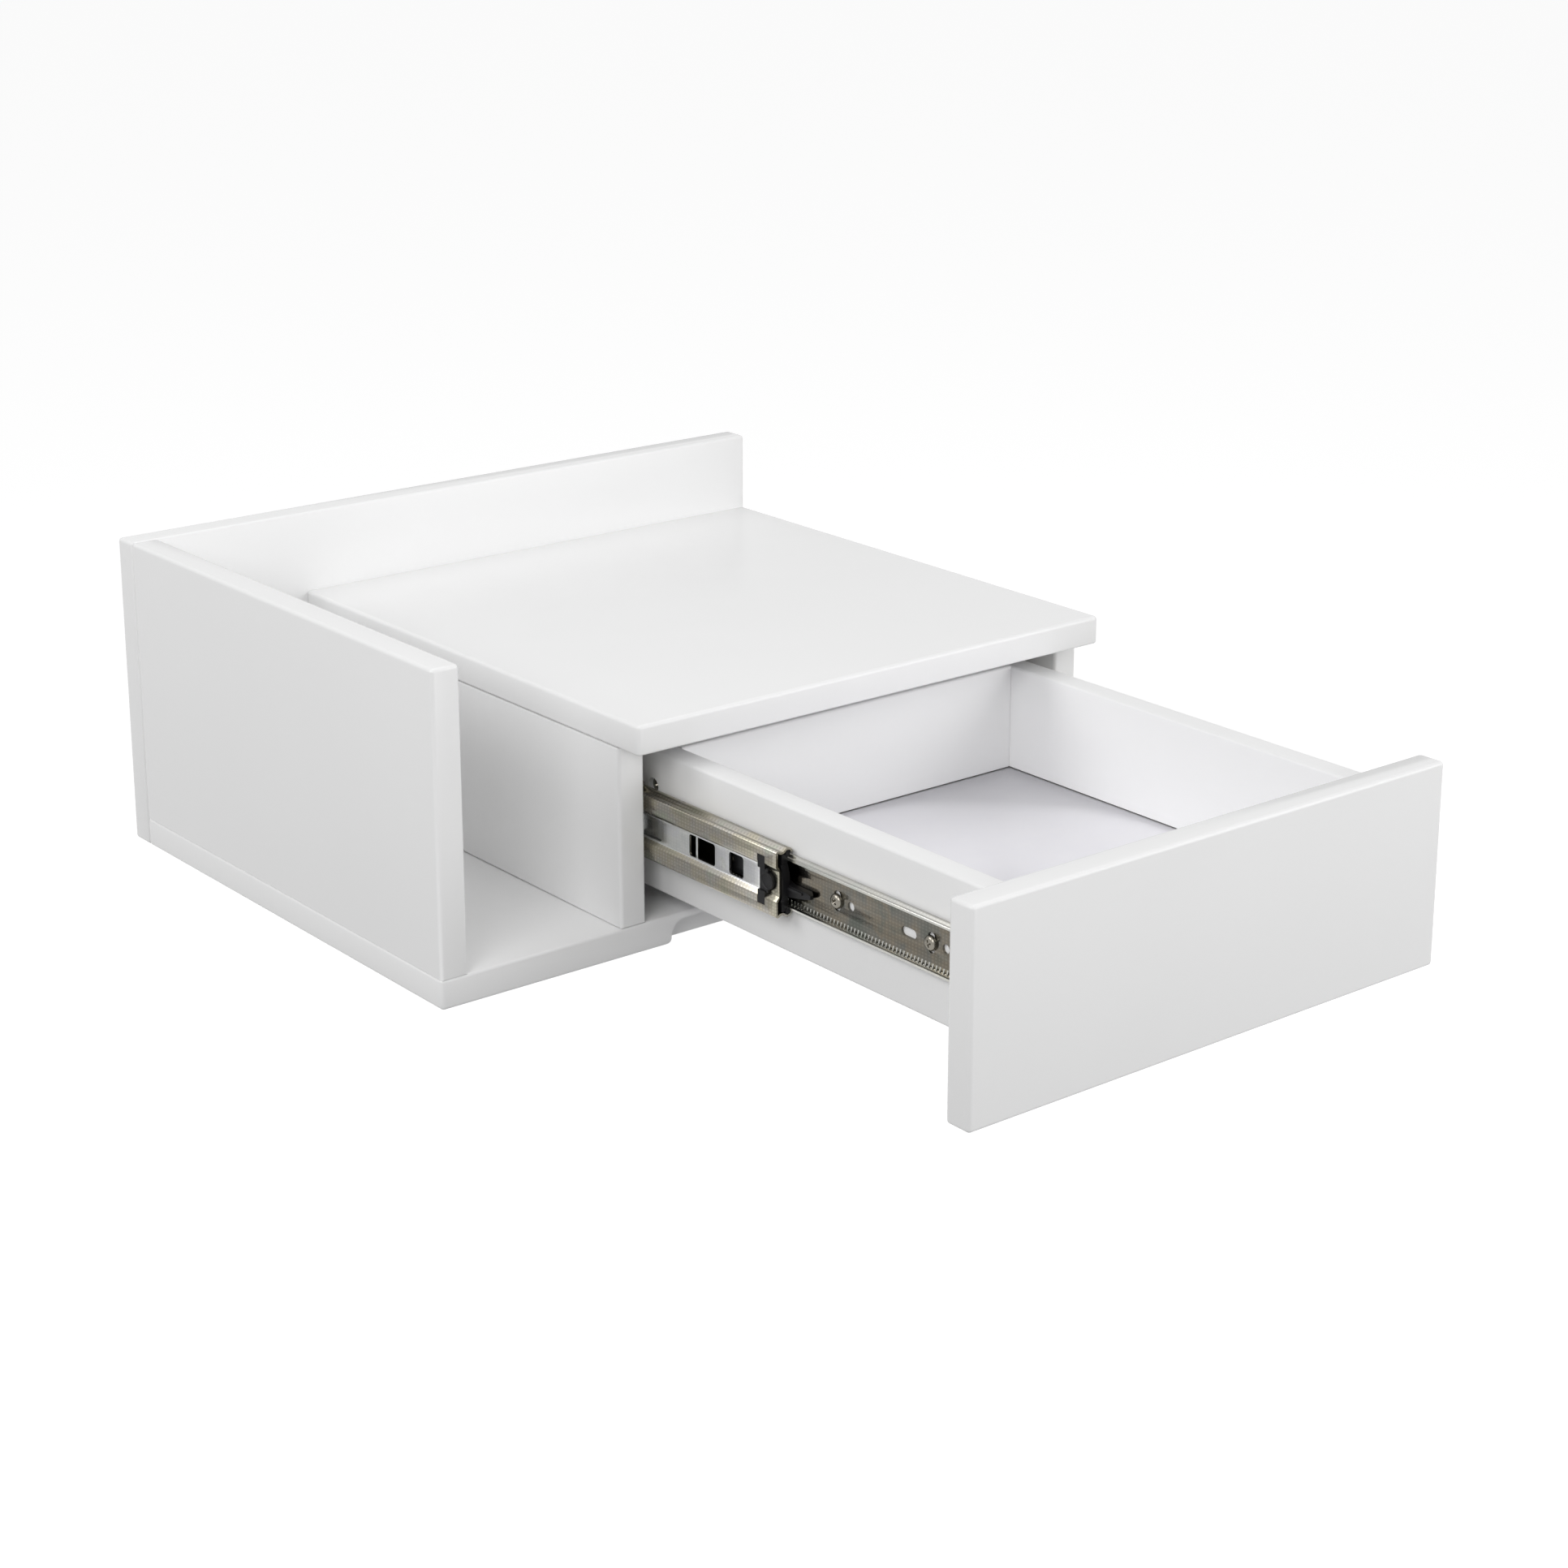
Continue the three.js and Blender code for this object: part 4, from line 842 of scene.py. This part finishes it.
def bent_sheet(name, node, web, bends, thickness, soften=0.5):
    """A rail or cage of bent sheet, as long as its node: its flat web first, then each edge drawn
    out along the section. A bend is a point to go to, or a centre and an angle to go round."""
    low, high = corners(node)
    depth, half = web
    bpy.ops.object.select_all(action="DESELECT")
    bpy.ops.mesh.primitive_plane_add(
        size=1, location=on_runner(depth, (low.y + high.y) / 2, 0) * MM,
        rotation=(0, math.radians(90), 0))
    bpy.context.active_object.scale = (2 * half * MM, (high.y - low.y) * MM, 1)
    obj = newest(name)
    bpy.ops.object.mode_set(mode="EDIT")
    for side in (1, -1):
        pick(obj, lambda place: abs(place.z - RUNNER_LEVEL - side * half) < 0.01)
        here = Vector((depth, half))
        for bend in bends:
            if len(bend) == 2:
                step = Vector(bend) - here
                bpy.ops.mesh.extrude_region_move(
                    TRANSFORM_OT_translate={"value": (step.x * MM, 0, side * step.y * MM)})
                here = Vector(bend)
            else:
                x, y, angle = bend
                bpy.ops.mesh.spin(
                    steps=max(3, round(abs(angle) / 12)), angle=math.radians(side * angle),
                    center=on_runner(x, 0, side * y) * MM, axis=(0, 1, 0))
                here = Vector((x, y)) + Matrix.Rotation(math.radians(angle), 2) @ (here - Vector((x, y)))
    bpy.ops.mesh.select_all(action="SELECT")
    bpy.ops.mesh.remove_doubles(threshold=0.001 * MM)
    face_outwards()
    if soften:
        ease_edges(obj, soften, 3, "ANGLE", 25)
    wall = obj.modifiers.new("sheet", "SOLIDIFY")
    wall.thickness = thickness * MM
    wall.offset = 0
    wall.use_even_offset = True
    apply_all(obj)
    bpy.ops.object.mode_set(mode="EDIT")
    face_outwards()
    return obj


def punch(front, along, half_height, corner, depths, height=0.0):
    """A rounded tool that punches an opening through a rail, seen from the side."""
    tool = block("punch", on_runner(depths[0], front + along[0], height - half_height),
                 on_runner(depths[1], front + along[1], height + half_height))
    round_along(tool, 0, corner, 6)
    return tool


def slot(front, centre, along, height, depths):
    radius = min(along, height) * ROUND_END
    return punch(front, (centre - along / 2, centre + along / 2), height / 2, radius, depths)


def cabinet_rail():
    front = corners("left_cabinet_rail")[0].y
    rail = bent_sheet("left_cabinet_rail_steel", "left_cabinet_rail", (0.6, 19.2),
                      [(1.8, 20.4), (5.9, 20.4), (*OUTER_BALL, -85)], RAIL_SHEET, 0.4)
    for screw in numbered(["left"], "cabinet_rail_screw"):
        cut(rail, slot(front, middle_of(screw).y - front, *SCREW_SLOT, CABINET_SLOT_DEPTHS))
    break_edges(rail, SHEET_EDGE)
    smooth(rail, METAL_SMOOTH)
    keep(rail, "cabinet", "zinc_plated_steel", [ZINC], "left_cabinet_rail")


def middle_rail():
    front = corners("left_middle_rail")[0].y
    rail = bent_sheet("left_middle_rail_steel", "left_middle_rail", (4.95, WEB_HALF_HEIGHT),
                      [(2.95, 8.5), (2.95, 14.985), (3.65, 14.985, -130.7), (*OUTER_BALL, 85.8),
                       (*INNER_BALL, -125.1)], MIDDLE_SHEET)
    for start, length in WINDOWS:
        cut(rail, punch(front, (start, start + length), WINDOW_HEIGHT / 2, WINDOW_CORNER,
                        WINDOW_DEPTHS))
    cut(rail, punch(front, (STOP_BAR[0] - SEAT_GAP, STOP_BAR[1] + SEAT_GAP),
                    STOP_BAR_HALF + SEAT_GAP, STOP_SLOT_CORNER, WINDOW_DEPTHS))
    for side in (1, -1):
        low_end, high_end = sorted((side * (STOP_BAR_HALF - 1), side * (STOP_TAB_END + SEAT_GAP)))
        cut(rail, punch(front, (STOP_TAB[0] - SEAT_GAP, STOP_TAB[1] + SEAT_GAP),
                        (high_end - low_end) / 2, STOP_SLOT_CORNER, WINDOW_DEPTHS,
                        (low_end + high_end) / 2))
    boss, radius = STOP_BOSS
    cut(rail, bore(radius + 0.5, 5, on_runner(6, front + boss, 0), OUT_RIGHT))
    break_edges(rail, SHEET_EDGE)
    smooth(rail, METAL_SMOOTH)
    keep(rail, "left_middle_rail", "zinc_plated_steel", [ZINC, SHEEN_ZINC], "left_middle_rail")
    # The web's faces take the lighter copy, a painted sheen
    for face in rail.data.polygons:
        depth, along, height = face.center / MM - on_runner(0, front, 0)
        if abs(height) < WEB_HALF_HEIGHT and depth > WEB_DEPTH and along > WEB_START:
            face.material_index = 1


def drawer_rail():
    low, high = corners("left_drawer_rail")
    front = low.y
    rail = bent_sheet("left_drawer_rail_steel", "left_drawer_rail", (12.9, 11.8),
                      [(12.2, 12.6), (11.21, 12.3), (*INNER_BALL, -70)], RAIL_SHEET, 0.3)
    for centre in RAIL_SLOTS:
        cut(rail, slot(front, centre, SCREW_SLOT[1], SCREW_SLOT[0], RAIL_SLOT_DEPTHS))
    cut(rail, slot(front, LEVEL_SLOT, *SCREW_SLOT, RAIL_SLOT_DEPTHS))
    for centre in RAIL_HOLES:
        cut(rail, bore(RAIL_HOLE_RADIUS, 3, on_runner(13.5, front + centre, 0), OUT_RIGHT))
    break_edges(rail, SHEET_EDGE)
    smooth(rail, METAL_SMOOTH)
    keep(rail, "drawer", "zinc_plated_steel", [DARK_ZINC, HIGHLIGHT_ZINC], "left_drawer_rail")
    # The lips' faces take the lighter copy, a painted highlight
    for face in rail.data.polygons:
        depth, _, height = face.center / MM - on_runner(0, front, 0)
        if depth < LIP_DEPTHS[height < 0] and abs(height) > LIP_HEIGHT:
            face.material_index = 1
    pitch, width, foot, tip = RIB
    near, far = RIB_DEPTHS
    start = front + RIB_INSET
    ribs = block("left_drawer_rail_ribs", on_runner(near, start, foot),
                 on_runner(far, start + width, tip))
    bpy.ops.object.mode_set(mode="EDIT")
    pick(ribs, lambda place: place.z - RUNNER_LEVEL > tip - 0.1 and place.x < CABINET_FACE + near + 0.1)
    bpy.ops.transform.translate(value=(RIB_LEAN[0] * MM, 0, RIB_LEAN[1] * MM))
    pick(ribs, lambda place: place.x < CABINET_FACE + far - 0.1)
    bpy.ops.transform.resize(
        value=(1, RIB_TAPER, 1), center_override=on_runner(near, start + width / 2, foot) * MM)
    face_outwards()
    row = ribs.modifiers.new("row", "ARRAY")
    row.use_relative_offset = False
    row.use_constant_offset = True
    row.constant_offset_displace = (0, pitch * MM, 0)
    row.count = int((high.y - front - 2 * RIB_INSET) / pitch)
    apply_all(ribs)
    smooth(ribs, 20)
    # The ribs take the lighter copy too, a painted highlight
    keep(ribs, "drawer", "zinc_plated_steel", [HIGHLIGHT_ZINC])
    rivet = laid("left_lever_rivet", RIVET, on_runner(0, front + LEVER_PIVOT, 0), OUT_LEFT)
    smooth(rivet, METAL_SMOOTH)
    keep(rivet, "drawer", "zinc_plated_steel", [NICKEL])


def ball_cage(name, web, bends, sheet, notch, ball, radius):
    """A cage of thin sheet with four balls in each arm, its web notched open from the front and
    with a window behind the notch's rim."""
    node = f"left_{name}_ball_cage"
    body = f"left_{name}_cage"
    low, high = corners(node)
    cage = bent_sheet(node + "_steel", node, web, bends, sheet, 0.3)
    behind = low.y + notch + CAGE_RIM
    for start, end, (half, corner) in ((low.y - 1, low.y + notch, CAGE_NOTCH),
                                       (behind, behind + CAGE_WINDOW, CAGE_WINDOW_FORM)):
        opening = block("notch", on_runner(web[0] - 2, start, -half), on_runner(web[0] + 2, end, half))
        round_along(opening, 0, corner)
        cut(cage, opening)
    break_edges(cage, CAGE_EDGE)
    smooth(cage, METAL_SMOOTH)
    # The cage takes the lighter copy of the zinc, a painted sheen
    keep(cage, body, "zinc_plated_steel", [SHEEN_ZINC], node)
    bpy.ops.object.select_all(action="DESELECT")
    bpy.ops.mesh.primitive_uv_sphere_add(segments=24, ring_count=12, radius=radius * MM)
    pattern = newest("ball_pattern")
    bpy.ops.object.shade_smooth()
    pitch = (high.y - low.y) / 4
    for i in range(4):
        for level, side in (("upper", 1), ("lower", -1)):
            place = on_runner(ball[0], low.y + pitch * (i + 0.5), side * ball[1])
            obj = copied(pattern, f"left_{name}_ball_{level}_{i + 1}", place)
            keep(obj, body, "zinc_plated_steel", [BALL_STEEL])
    bpy.data.objects.remove(pattern)


def stop_nose(front):
    """The stop's nose: the front of a wide disc, trimmed behind, above and below."""
    reach, half = STOP_NOSE_REACH, STOP_NOSE_HALF
    radius = (half ** 2 + reach ** 2) / (2 * reach)
    rings = [(radius, -STOP_NOSE_ROOT), (radius, STOP_NOSE_ROUND - STOP_PLATE),
             (radius - STOP_NOSE_ROUND, -STOP_PLATE)]
    nose = laid("nose", rings, on_runner(0, front + radius - reach, 0), OUT_LEFT, 96)
    cut(nose, block("trim", on_runner(5, front + STOP_REAR, -40), on_runner(10, front + 70, 40)))
    for side in (1, -1):
        low_end, high_end = sorted((side * half, side * 40))
        cut(nose, block("trim", on_runner(5, front - 10, low_end), on_runner(10, front + 30, high_end)))
    return nose


def middle_rail_stop():
    """The black stop: a curved nose and shoulders in the rail's mouth, and through the web a bar
    with two tabs and a round boss."""
    front = corners("left_middle_rail")[0].y
    inner = STOP_PLATE + STOP_LAP
    stop = block("left_middle_rail_stop_moulding",
                 on_runner(STOP_FACE, front + STOP_BAR[0], -STOP_BAR_HALF),
                 on_runner(inner, front + STOP_BAR[1], STOP_BAR_HALF))
    boss, radius = STOP_BOSS
    rings = [(radius, -inner), (radius, STOP_LAP - STOP_FACE), (radius - STOP_LAP, -STOP_FACE)]
    join(stop, laid("boss", rings, on_runner(0, front + boss, 0), OUT_LEFT))
    for side in (1, -1):
        low_end, high_end = sorted((side * (STOP_BAR_HALF - 0.5), side * STOP_TAB_END))
        join(stop, block("tab", on_runner(STOP_TAB_FACE, front + STOP_TAB[0], low_end),
                         on_runner(inner, front + STOP_TAB[1], high_end)))
    join(stop, stop_nose(front))
    for side in (1, -1):
        pad = laid("pad", [(STOP_PAD_RADIUS, 0), (STOP_PAD_RADIUS, STOP_REAR)],
                   on_runner(INNER_BALL[0], front, side * INNER_BALL[1]), WALLWARD, 16)
        low_end, high_end = sorted((side * (STOP_NOSE_HALF - 1), side * INNER_BALL[1]))
        shoulder = block("shoulder", on_runner(STOP_SHOULDER[0], front + 0.2, low_end),
                         on_runner(STOP_SHOULDER[1], front + STOP_REAR, high_end))
        join(shoulder, pad)
        join(stop, shoulder)
    break_edges(stop, STOP_EDGE)
    smooth(stop, METAL_SMOOTH)
    keep(stop, "left_middle_rail", "black_plastic", [ACETAL], "left_middle_rail_stop")


def release_lever():
    """The black lever: a round eye at its rivet, an arm, and a tongue with a pointed, ridged tip."""
    front = corners("left_drawer_rail")[0].y
    near, far = LEVER_DEPTH
    under, over = LEVER_HEIGHTS
    lever = block("left_release_lever_moulding", on_runner(near, front + LEVER_TIP, under),
                  on_runner(far, front + LEVER_ARM, over))
    bpy.ops.object.mode_set(mode="EDIT")
    for along, _, _ in LEVER_TONGUE[1:]:
        bpy.ops.mesh.select_all(action="SELECT")
        bpy.ops.mesh.bisect(plane_co=on_runner(0, front + along, 0) * MM, plane_no=(0, 1, 0))
    for along, lower, upper in LEVER_TONGUE:
        for height, to in ((over, upper), (under, lower)):
            pick(lever, lambda place: abs(place.y - front - along) < 0.1
                 and abs(place.z - RUNNER_LEVEL - height) < 0.1)
            bpy.ops.transform.translate(value=(0, 0, (to - height) * MM))
    pick(lever, lambda place: place.y < front + LEVER_TIP + 0.1 and place.x > CABINET_FACE + far - 0.1)
    bpy.ops.transform.translate(value=(-LEVER_SLANT * MM, 0, 0))
    face_outwards()
    pivot = on_runner(0, front + LEVER_PIVOT, 0)
    arm = block("arm", on_runner(near, front + LEVER_ARM - 1, under),
                on_runner(far, front + LEVER_PIVOT, over))
    eye = laid("eye", [(LEVER_EYE, -far), (LEVER_EYE, -near)], pivot, OUT_LEFT)
    start, end = LEVER_RIDGE
    ridge = block("ridge", on_runner(near - 0.7, front + start, -2.6),
                  on_runner(near + 0.4, front + end, -1.4))
    join(lever, arm, eye, ridge)
    cut(lever, laid("rivet_hole", [(LEVER_HOLE, -far - 1), (LEVER_HOLE, 1 - near)], pivot, OUT_LEFT))
    break_edges(lever, LEVER_EDGE, 3, 35)
    smooth(lever, METAL_SMOOTH)
    keep(lever, "left_release_lever", "black_plastic", [ACETAL], "left_release_lever")


def runners():
    cabinet_rail()
    middle_rail()
    drawer_rail()
    ball_cage("outer", (1.8, OUTER_BALL[1]), [(7.1, OUTER_BALL[1])], OUTER_CAGE_SHEET, 90,
              OUTER_BALL, OUTER_BALL_RADIUS)
    ball_cage("inner", (6.05, 13.25), [INNER_BALL, (10.71, 14.15)], INNER_CAGE_SHEET, 45,
              INNER_BALL, INNER_BALL_RADIUS)
    middle_rail_stop()
    release_lever()
    parts = ("rail", "ball", "lever")
    for name in starting_with(list(kept), "left_"):
        if any(part in name for part in parts):
            twin(name)


def cross(head_radius, top):
    """A cross recess: two tapered bars, sunk into a head."""
    bars = []
    reach, foot = head_radius * CROSS_REACH, top - CROSS_DEPTH
    for turn in (0, 90):
        bar = block("bar", (-reach, -CROSS_HALF, foot), (reach, CROSS_HALF, top + 1))
        bpy.ops.object.mode_set(mode="EDIT")
        pick(bar, lambda place: place.z < top - 1)
        bpy.ops.transform.resize(value=(*CROSS_TAPER, 1), center_override=(0, 0, foot * MM))
        bpy.ops.object.mode_set(mode="OBJECT")
        bars.append(copied(bar, "bar_turned", turn=turn))
        bpy.data.objects.remove(bar)
    return bars


def flat_screw_pattern(kind):
    """A screw with a countersunk head, its face at height 0."""
    pattern = turned("flat_screw_pattern", screw_profile(kind))
    cut(pattern, *cross(kind[0], 0))
    break_edges(pattern, SCREW_EDGE, 2, 35)
    smooth(pattern, METAL_SMOOTH)
    return pattern


def pan_screw_pattern(kind):
    """A screw with a domed head, the head's underside at height 0."""
    head, rise, shank, length, tip = kind
    dome = [(head, rise * 0.3), (head * 0.96, rise * 0.5), (head * 0.84, rise * 0.76),
            (head * 0.64, rise * 0.92), (head * 0.35, rise)]
    stem = [(0.2, -length), (shank, tip - length), (shank, 0), (head, 0)]
    pattern = turned("pan_screw_pattern", stem + dome)
    cut(pattern, *cross(head, rise))
    break_edges(pattern, SCREW_EDGE, 2, 35)
    smooth(pattern, METAL_SMOOTH)
    return pattern


def place_screws(pattern, screws, direction, body, back_by=0.0, turn=0):
    """A copy of the pattern in the place of each named screw."""
    for i, node in enumerate(screws):
        place = face_of(node, direction) - Vector(direction) * back_by
        obj = copied(pattern, node + "_turned", place, direction, turn + 37 * i)
        keep(obj, body, "nickel_plated_steel", [NICKEL], node)


def dowel(node, radius, direction, body):
    """A beech dowel with chamfered ends, at its node's place."""
    axis = [abs(part) for part in direction].index(1)
    low, high = corners(node)
    half = (high - low)[axis] / 2
    tip, shoulder = radius - DOWEL_CHAMFER, half - DOWEL_CHAMFER
    rings = [(tip, -half), (radius, -shoulder), (radius, shoulder), (tip, half)]
    obj = laid(node + "_turned", rings, middle_of(node), direction)
    smooth(obj, 40)
    keep(obj, body, "beech_dowel", [BEECH], node)


def hanger_plate(side):
    """A plate let into the wall face, with a keyhole for the wall screw."""
    node = side + "_hanger_plate"
    low, high = corners(node)
    centre = (low + high) / 2
    plate = block(node + "_steel", low, high)
    round_along(plate, 1, PLATE_CORNER)
    half = KEYHOLE_SLOT / 2
    foot, head = centre.z - KEYHOLE_RISE / 2, centre.z + KEYHOLE_RISE / 2
    cut(plate, bore(KEYHOLE_RADIUS, 4, (centre.x, high.y, foot), WALLWARD))
    cut(plate, bore(half, 4, (centre.x, high.y, head), WALLWARD))
    cut(plate, block("slot", (centre.x - half, low.y - 1, foot), (centre.x + half, high.y + 1, head)))
    drill(plate, starting_with(HANGER_SCREWS, side), PLATE_SCREW, WALLWARD)
    break_edges(plate, PLATE_EDGE)
    smooth(plate, METAL_SMOOTH)
    keep(plate, "cabinet", "zinc_plated_steel", [ZINC], node)


def fasteners():
    hanger_plate("left")
    hanger_plate("right")
    board_screw = flat_screw_pattern(BOARD_SCREW)
    place_screws(board_screw, BASE_SCREWS, DOWN, "cabinet")
    place_screws(board_screw, BACK_SCREWS, WALLWARD, "cabinet")
    plate_screw = flat_screw_pattern(PLATE_SCREW)
    place_screws(plate_screw, HANGER_SCREWS, WALLWARD, "cabinet")
    box_screw = flat_screw_pattern(BOX_SCREW)
    rail_screw = pan_screw_pattern(RAIL_SCREW)
    cabinet_screw = pan_screw_pattern(CABINET_SCREW)
    for side, outward, inward in (("left", OUT_LEFT, OUT_RIGHT), ("right", OUT_RIGHT, OUT_LEFT)):
        place_screws(box_screw, numbered([side], "drawer_back_screw", ("upper", "lower")),
                     outward, "drawer", BOX_SCREW_SINK - 1, 20)
        place_screws(rail_screw, numbered([side], "drawer_rail_screw"),
                     outward, "drawer", RAIL_SCREW[1], 15)
        place_screws(cabinet_screw, numbered([side], "cabinet_rail_screw"),
                     inward, "cabinet", CABINET_SCREW[1], 15)
    for pattern in (board_screw, plate_screw, box_screw, rail_screw, cabinet_screw):
        bpy.data.objects.remove(pattern)
    for node in TOP_DOWELS:
        dowel(node, TOP_DOWEL_RADIUS, UP, "cabinet")
    for node in FRONT_DOWELS:
        dowel(node, FRONT_DOWEL_RADIUS, WALLWARD, "drawer")


carcass()
drawer()
runners()
fasteners()

# The camera: a long lens from the front left, a little above, in degrees
LOOK_DOWN = 16.32
LOOK_ROUND = -38.75
camera_data = bpy.data.cameras.new("camera")
camera = bpy.data.objects.new("camera", camera_data)
bpy.context.scene.collection.objects.link(camera)
camera.location = (-0.9129, -1.4400, 0.4934)
camera.rotation_euler = (math.radians(90 - LOOK_DOWN), 0, math.radians(LOOK_ROUND))
camera_data.sensor_width = 36
camera_data.lens = 71.83
camera_data.shift_y = -0.1
camera_data.clip_end = 100
bpy.context.scene.camera = camera


def seen_by_eye(shader):
    """One for camera rays and for reflections, which show the white background; zero for the rest."""
    ray = add_node(shader, "ShaderNodeLightPath")
    mirrored = add_node(shader, "ShaderNodeMath", {
        0: ray.outputs["Is Camera Ray"], 1: ray.outputs["Is Glossy Ray"],
    }, operation="MAXIMUM")
    return add_node(shader, "ShaderNodeMath", {
        0: mirrored.outputs["Value"], 1: ray.outputs["Is Transmission Ray"],
    }, operation="MAXIMUM").outputs["Value"]


# A plain pale floor, well below the hanging object
FLOOR_LEVEL = -0.45
FLOOR_GLOW = 0.87
bpy.ops.object.select_all(action="DESELECT")
bpy.ops.mesh.primitive_plane_add(size=60, location=(0, 0, FLOOR_LEVEL))
floor = bpy.context.active_object
floor.name = "studio_floor"
m, _ = new_material("pale_studio_paper")
share = add_node(m, "ShaderNodeMath", {0: seen_by_eye(m), 1: FLOOR_GLOW}, operation="MULTIPLY")
paper = add_node(m, "ShaderNodeBsdfDiffuse", {"Color": linear("959595")})
glow = add_node(m, "ShaderNodeEmission", {"Strength": share.outputs["Value"]})
finish_material(m, add_node(m, "ShaderNodeAddShader", {0: paper.outputs[0], 1: glow.outputs[0]}))
floor.data.materials.append(m)


def soft_box(name, place, side, watts):
    """A square lamp that faces the object, in metres and watts."""
    light = bpy.data.lights.new(name, "AREA")
    light.shape = "SQUARE"
    light.size = side
    light.energy = watts
    obj = bpy.data.objects.new(name, light)
    bpy.context.scene.collection.objects.link(obj)
    obj.location = place
    obj.rotation_euler = (AIM - Vector(place)).to_track_quat("-Z", "Y").to_euler()


AIM = Vector((0, -0.25, 0))
soft_box("overhead_soft_box", (0.1, -0.2, 1.8), 2.0, 8.3)
soft_box("front_right_soft_box", (1.6, -2.0, 0.8), 1.6, 20)
soft_box("front_left_soft_box", (-1.9, -1.5, 1.3), 1.2, 19)
soft_box("front_low_soft_box", (0.3, -3.0, 0.1), 1.5, 15)
soft_box("rear_left_soft_box", (-2.0, 0.4, 1.4), 1.2, 19)

# The world: how strongly it lights the object, and how white it looks
WORLD_LIGHT = 0.29
WORLD_WHITE = 1.0

world = bpy.data.worlds.new("studio")
bpy.context.scene.world = world
world.use_nodes = True
world.node_tree.nodes.clear()
plain = add_node(world, "ShaderNodeBackground", {"Color": linear("ffffff"), "Strength": WORLD_LIGHT})
white = add_node(world, "ShaderNodeBackground", {"Color": linear("ffffff"), "Strength": WORLD_WHITE})
mixed = add_node(world, "ShaderNodeMixShader", {
    0: seen_by_eye(world), 1: plain.outputs[0], 2: white.outputs[0],
})
add_node(world, "ShaderNodeOutputWorld", {"Surface": mixed.outputs[0]})

bpy.context.scene.view_settings.view_transform = "Standard"
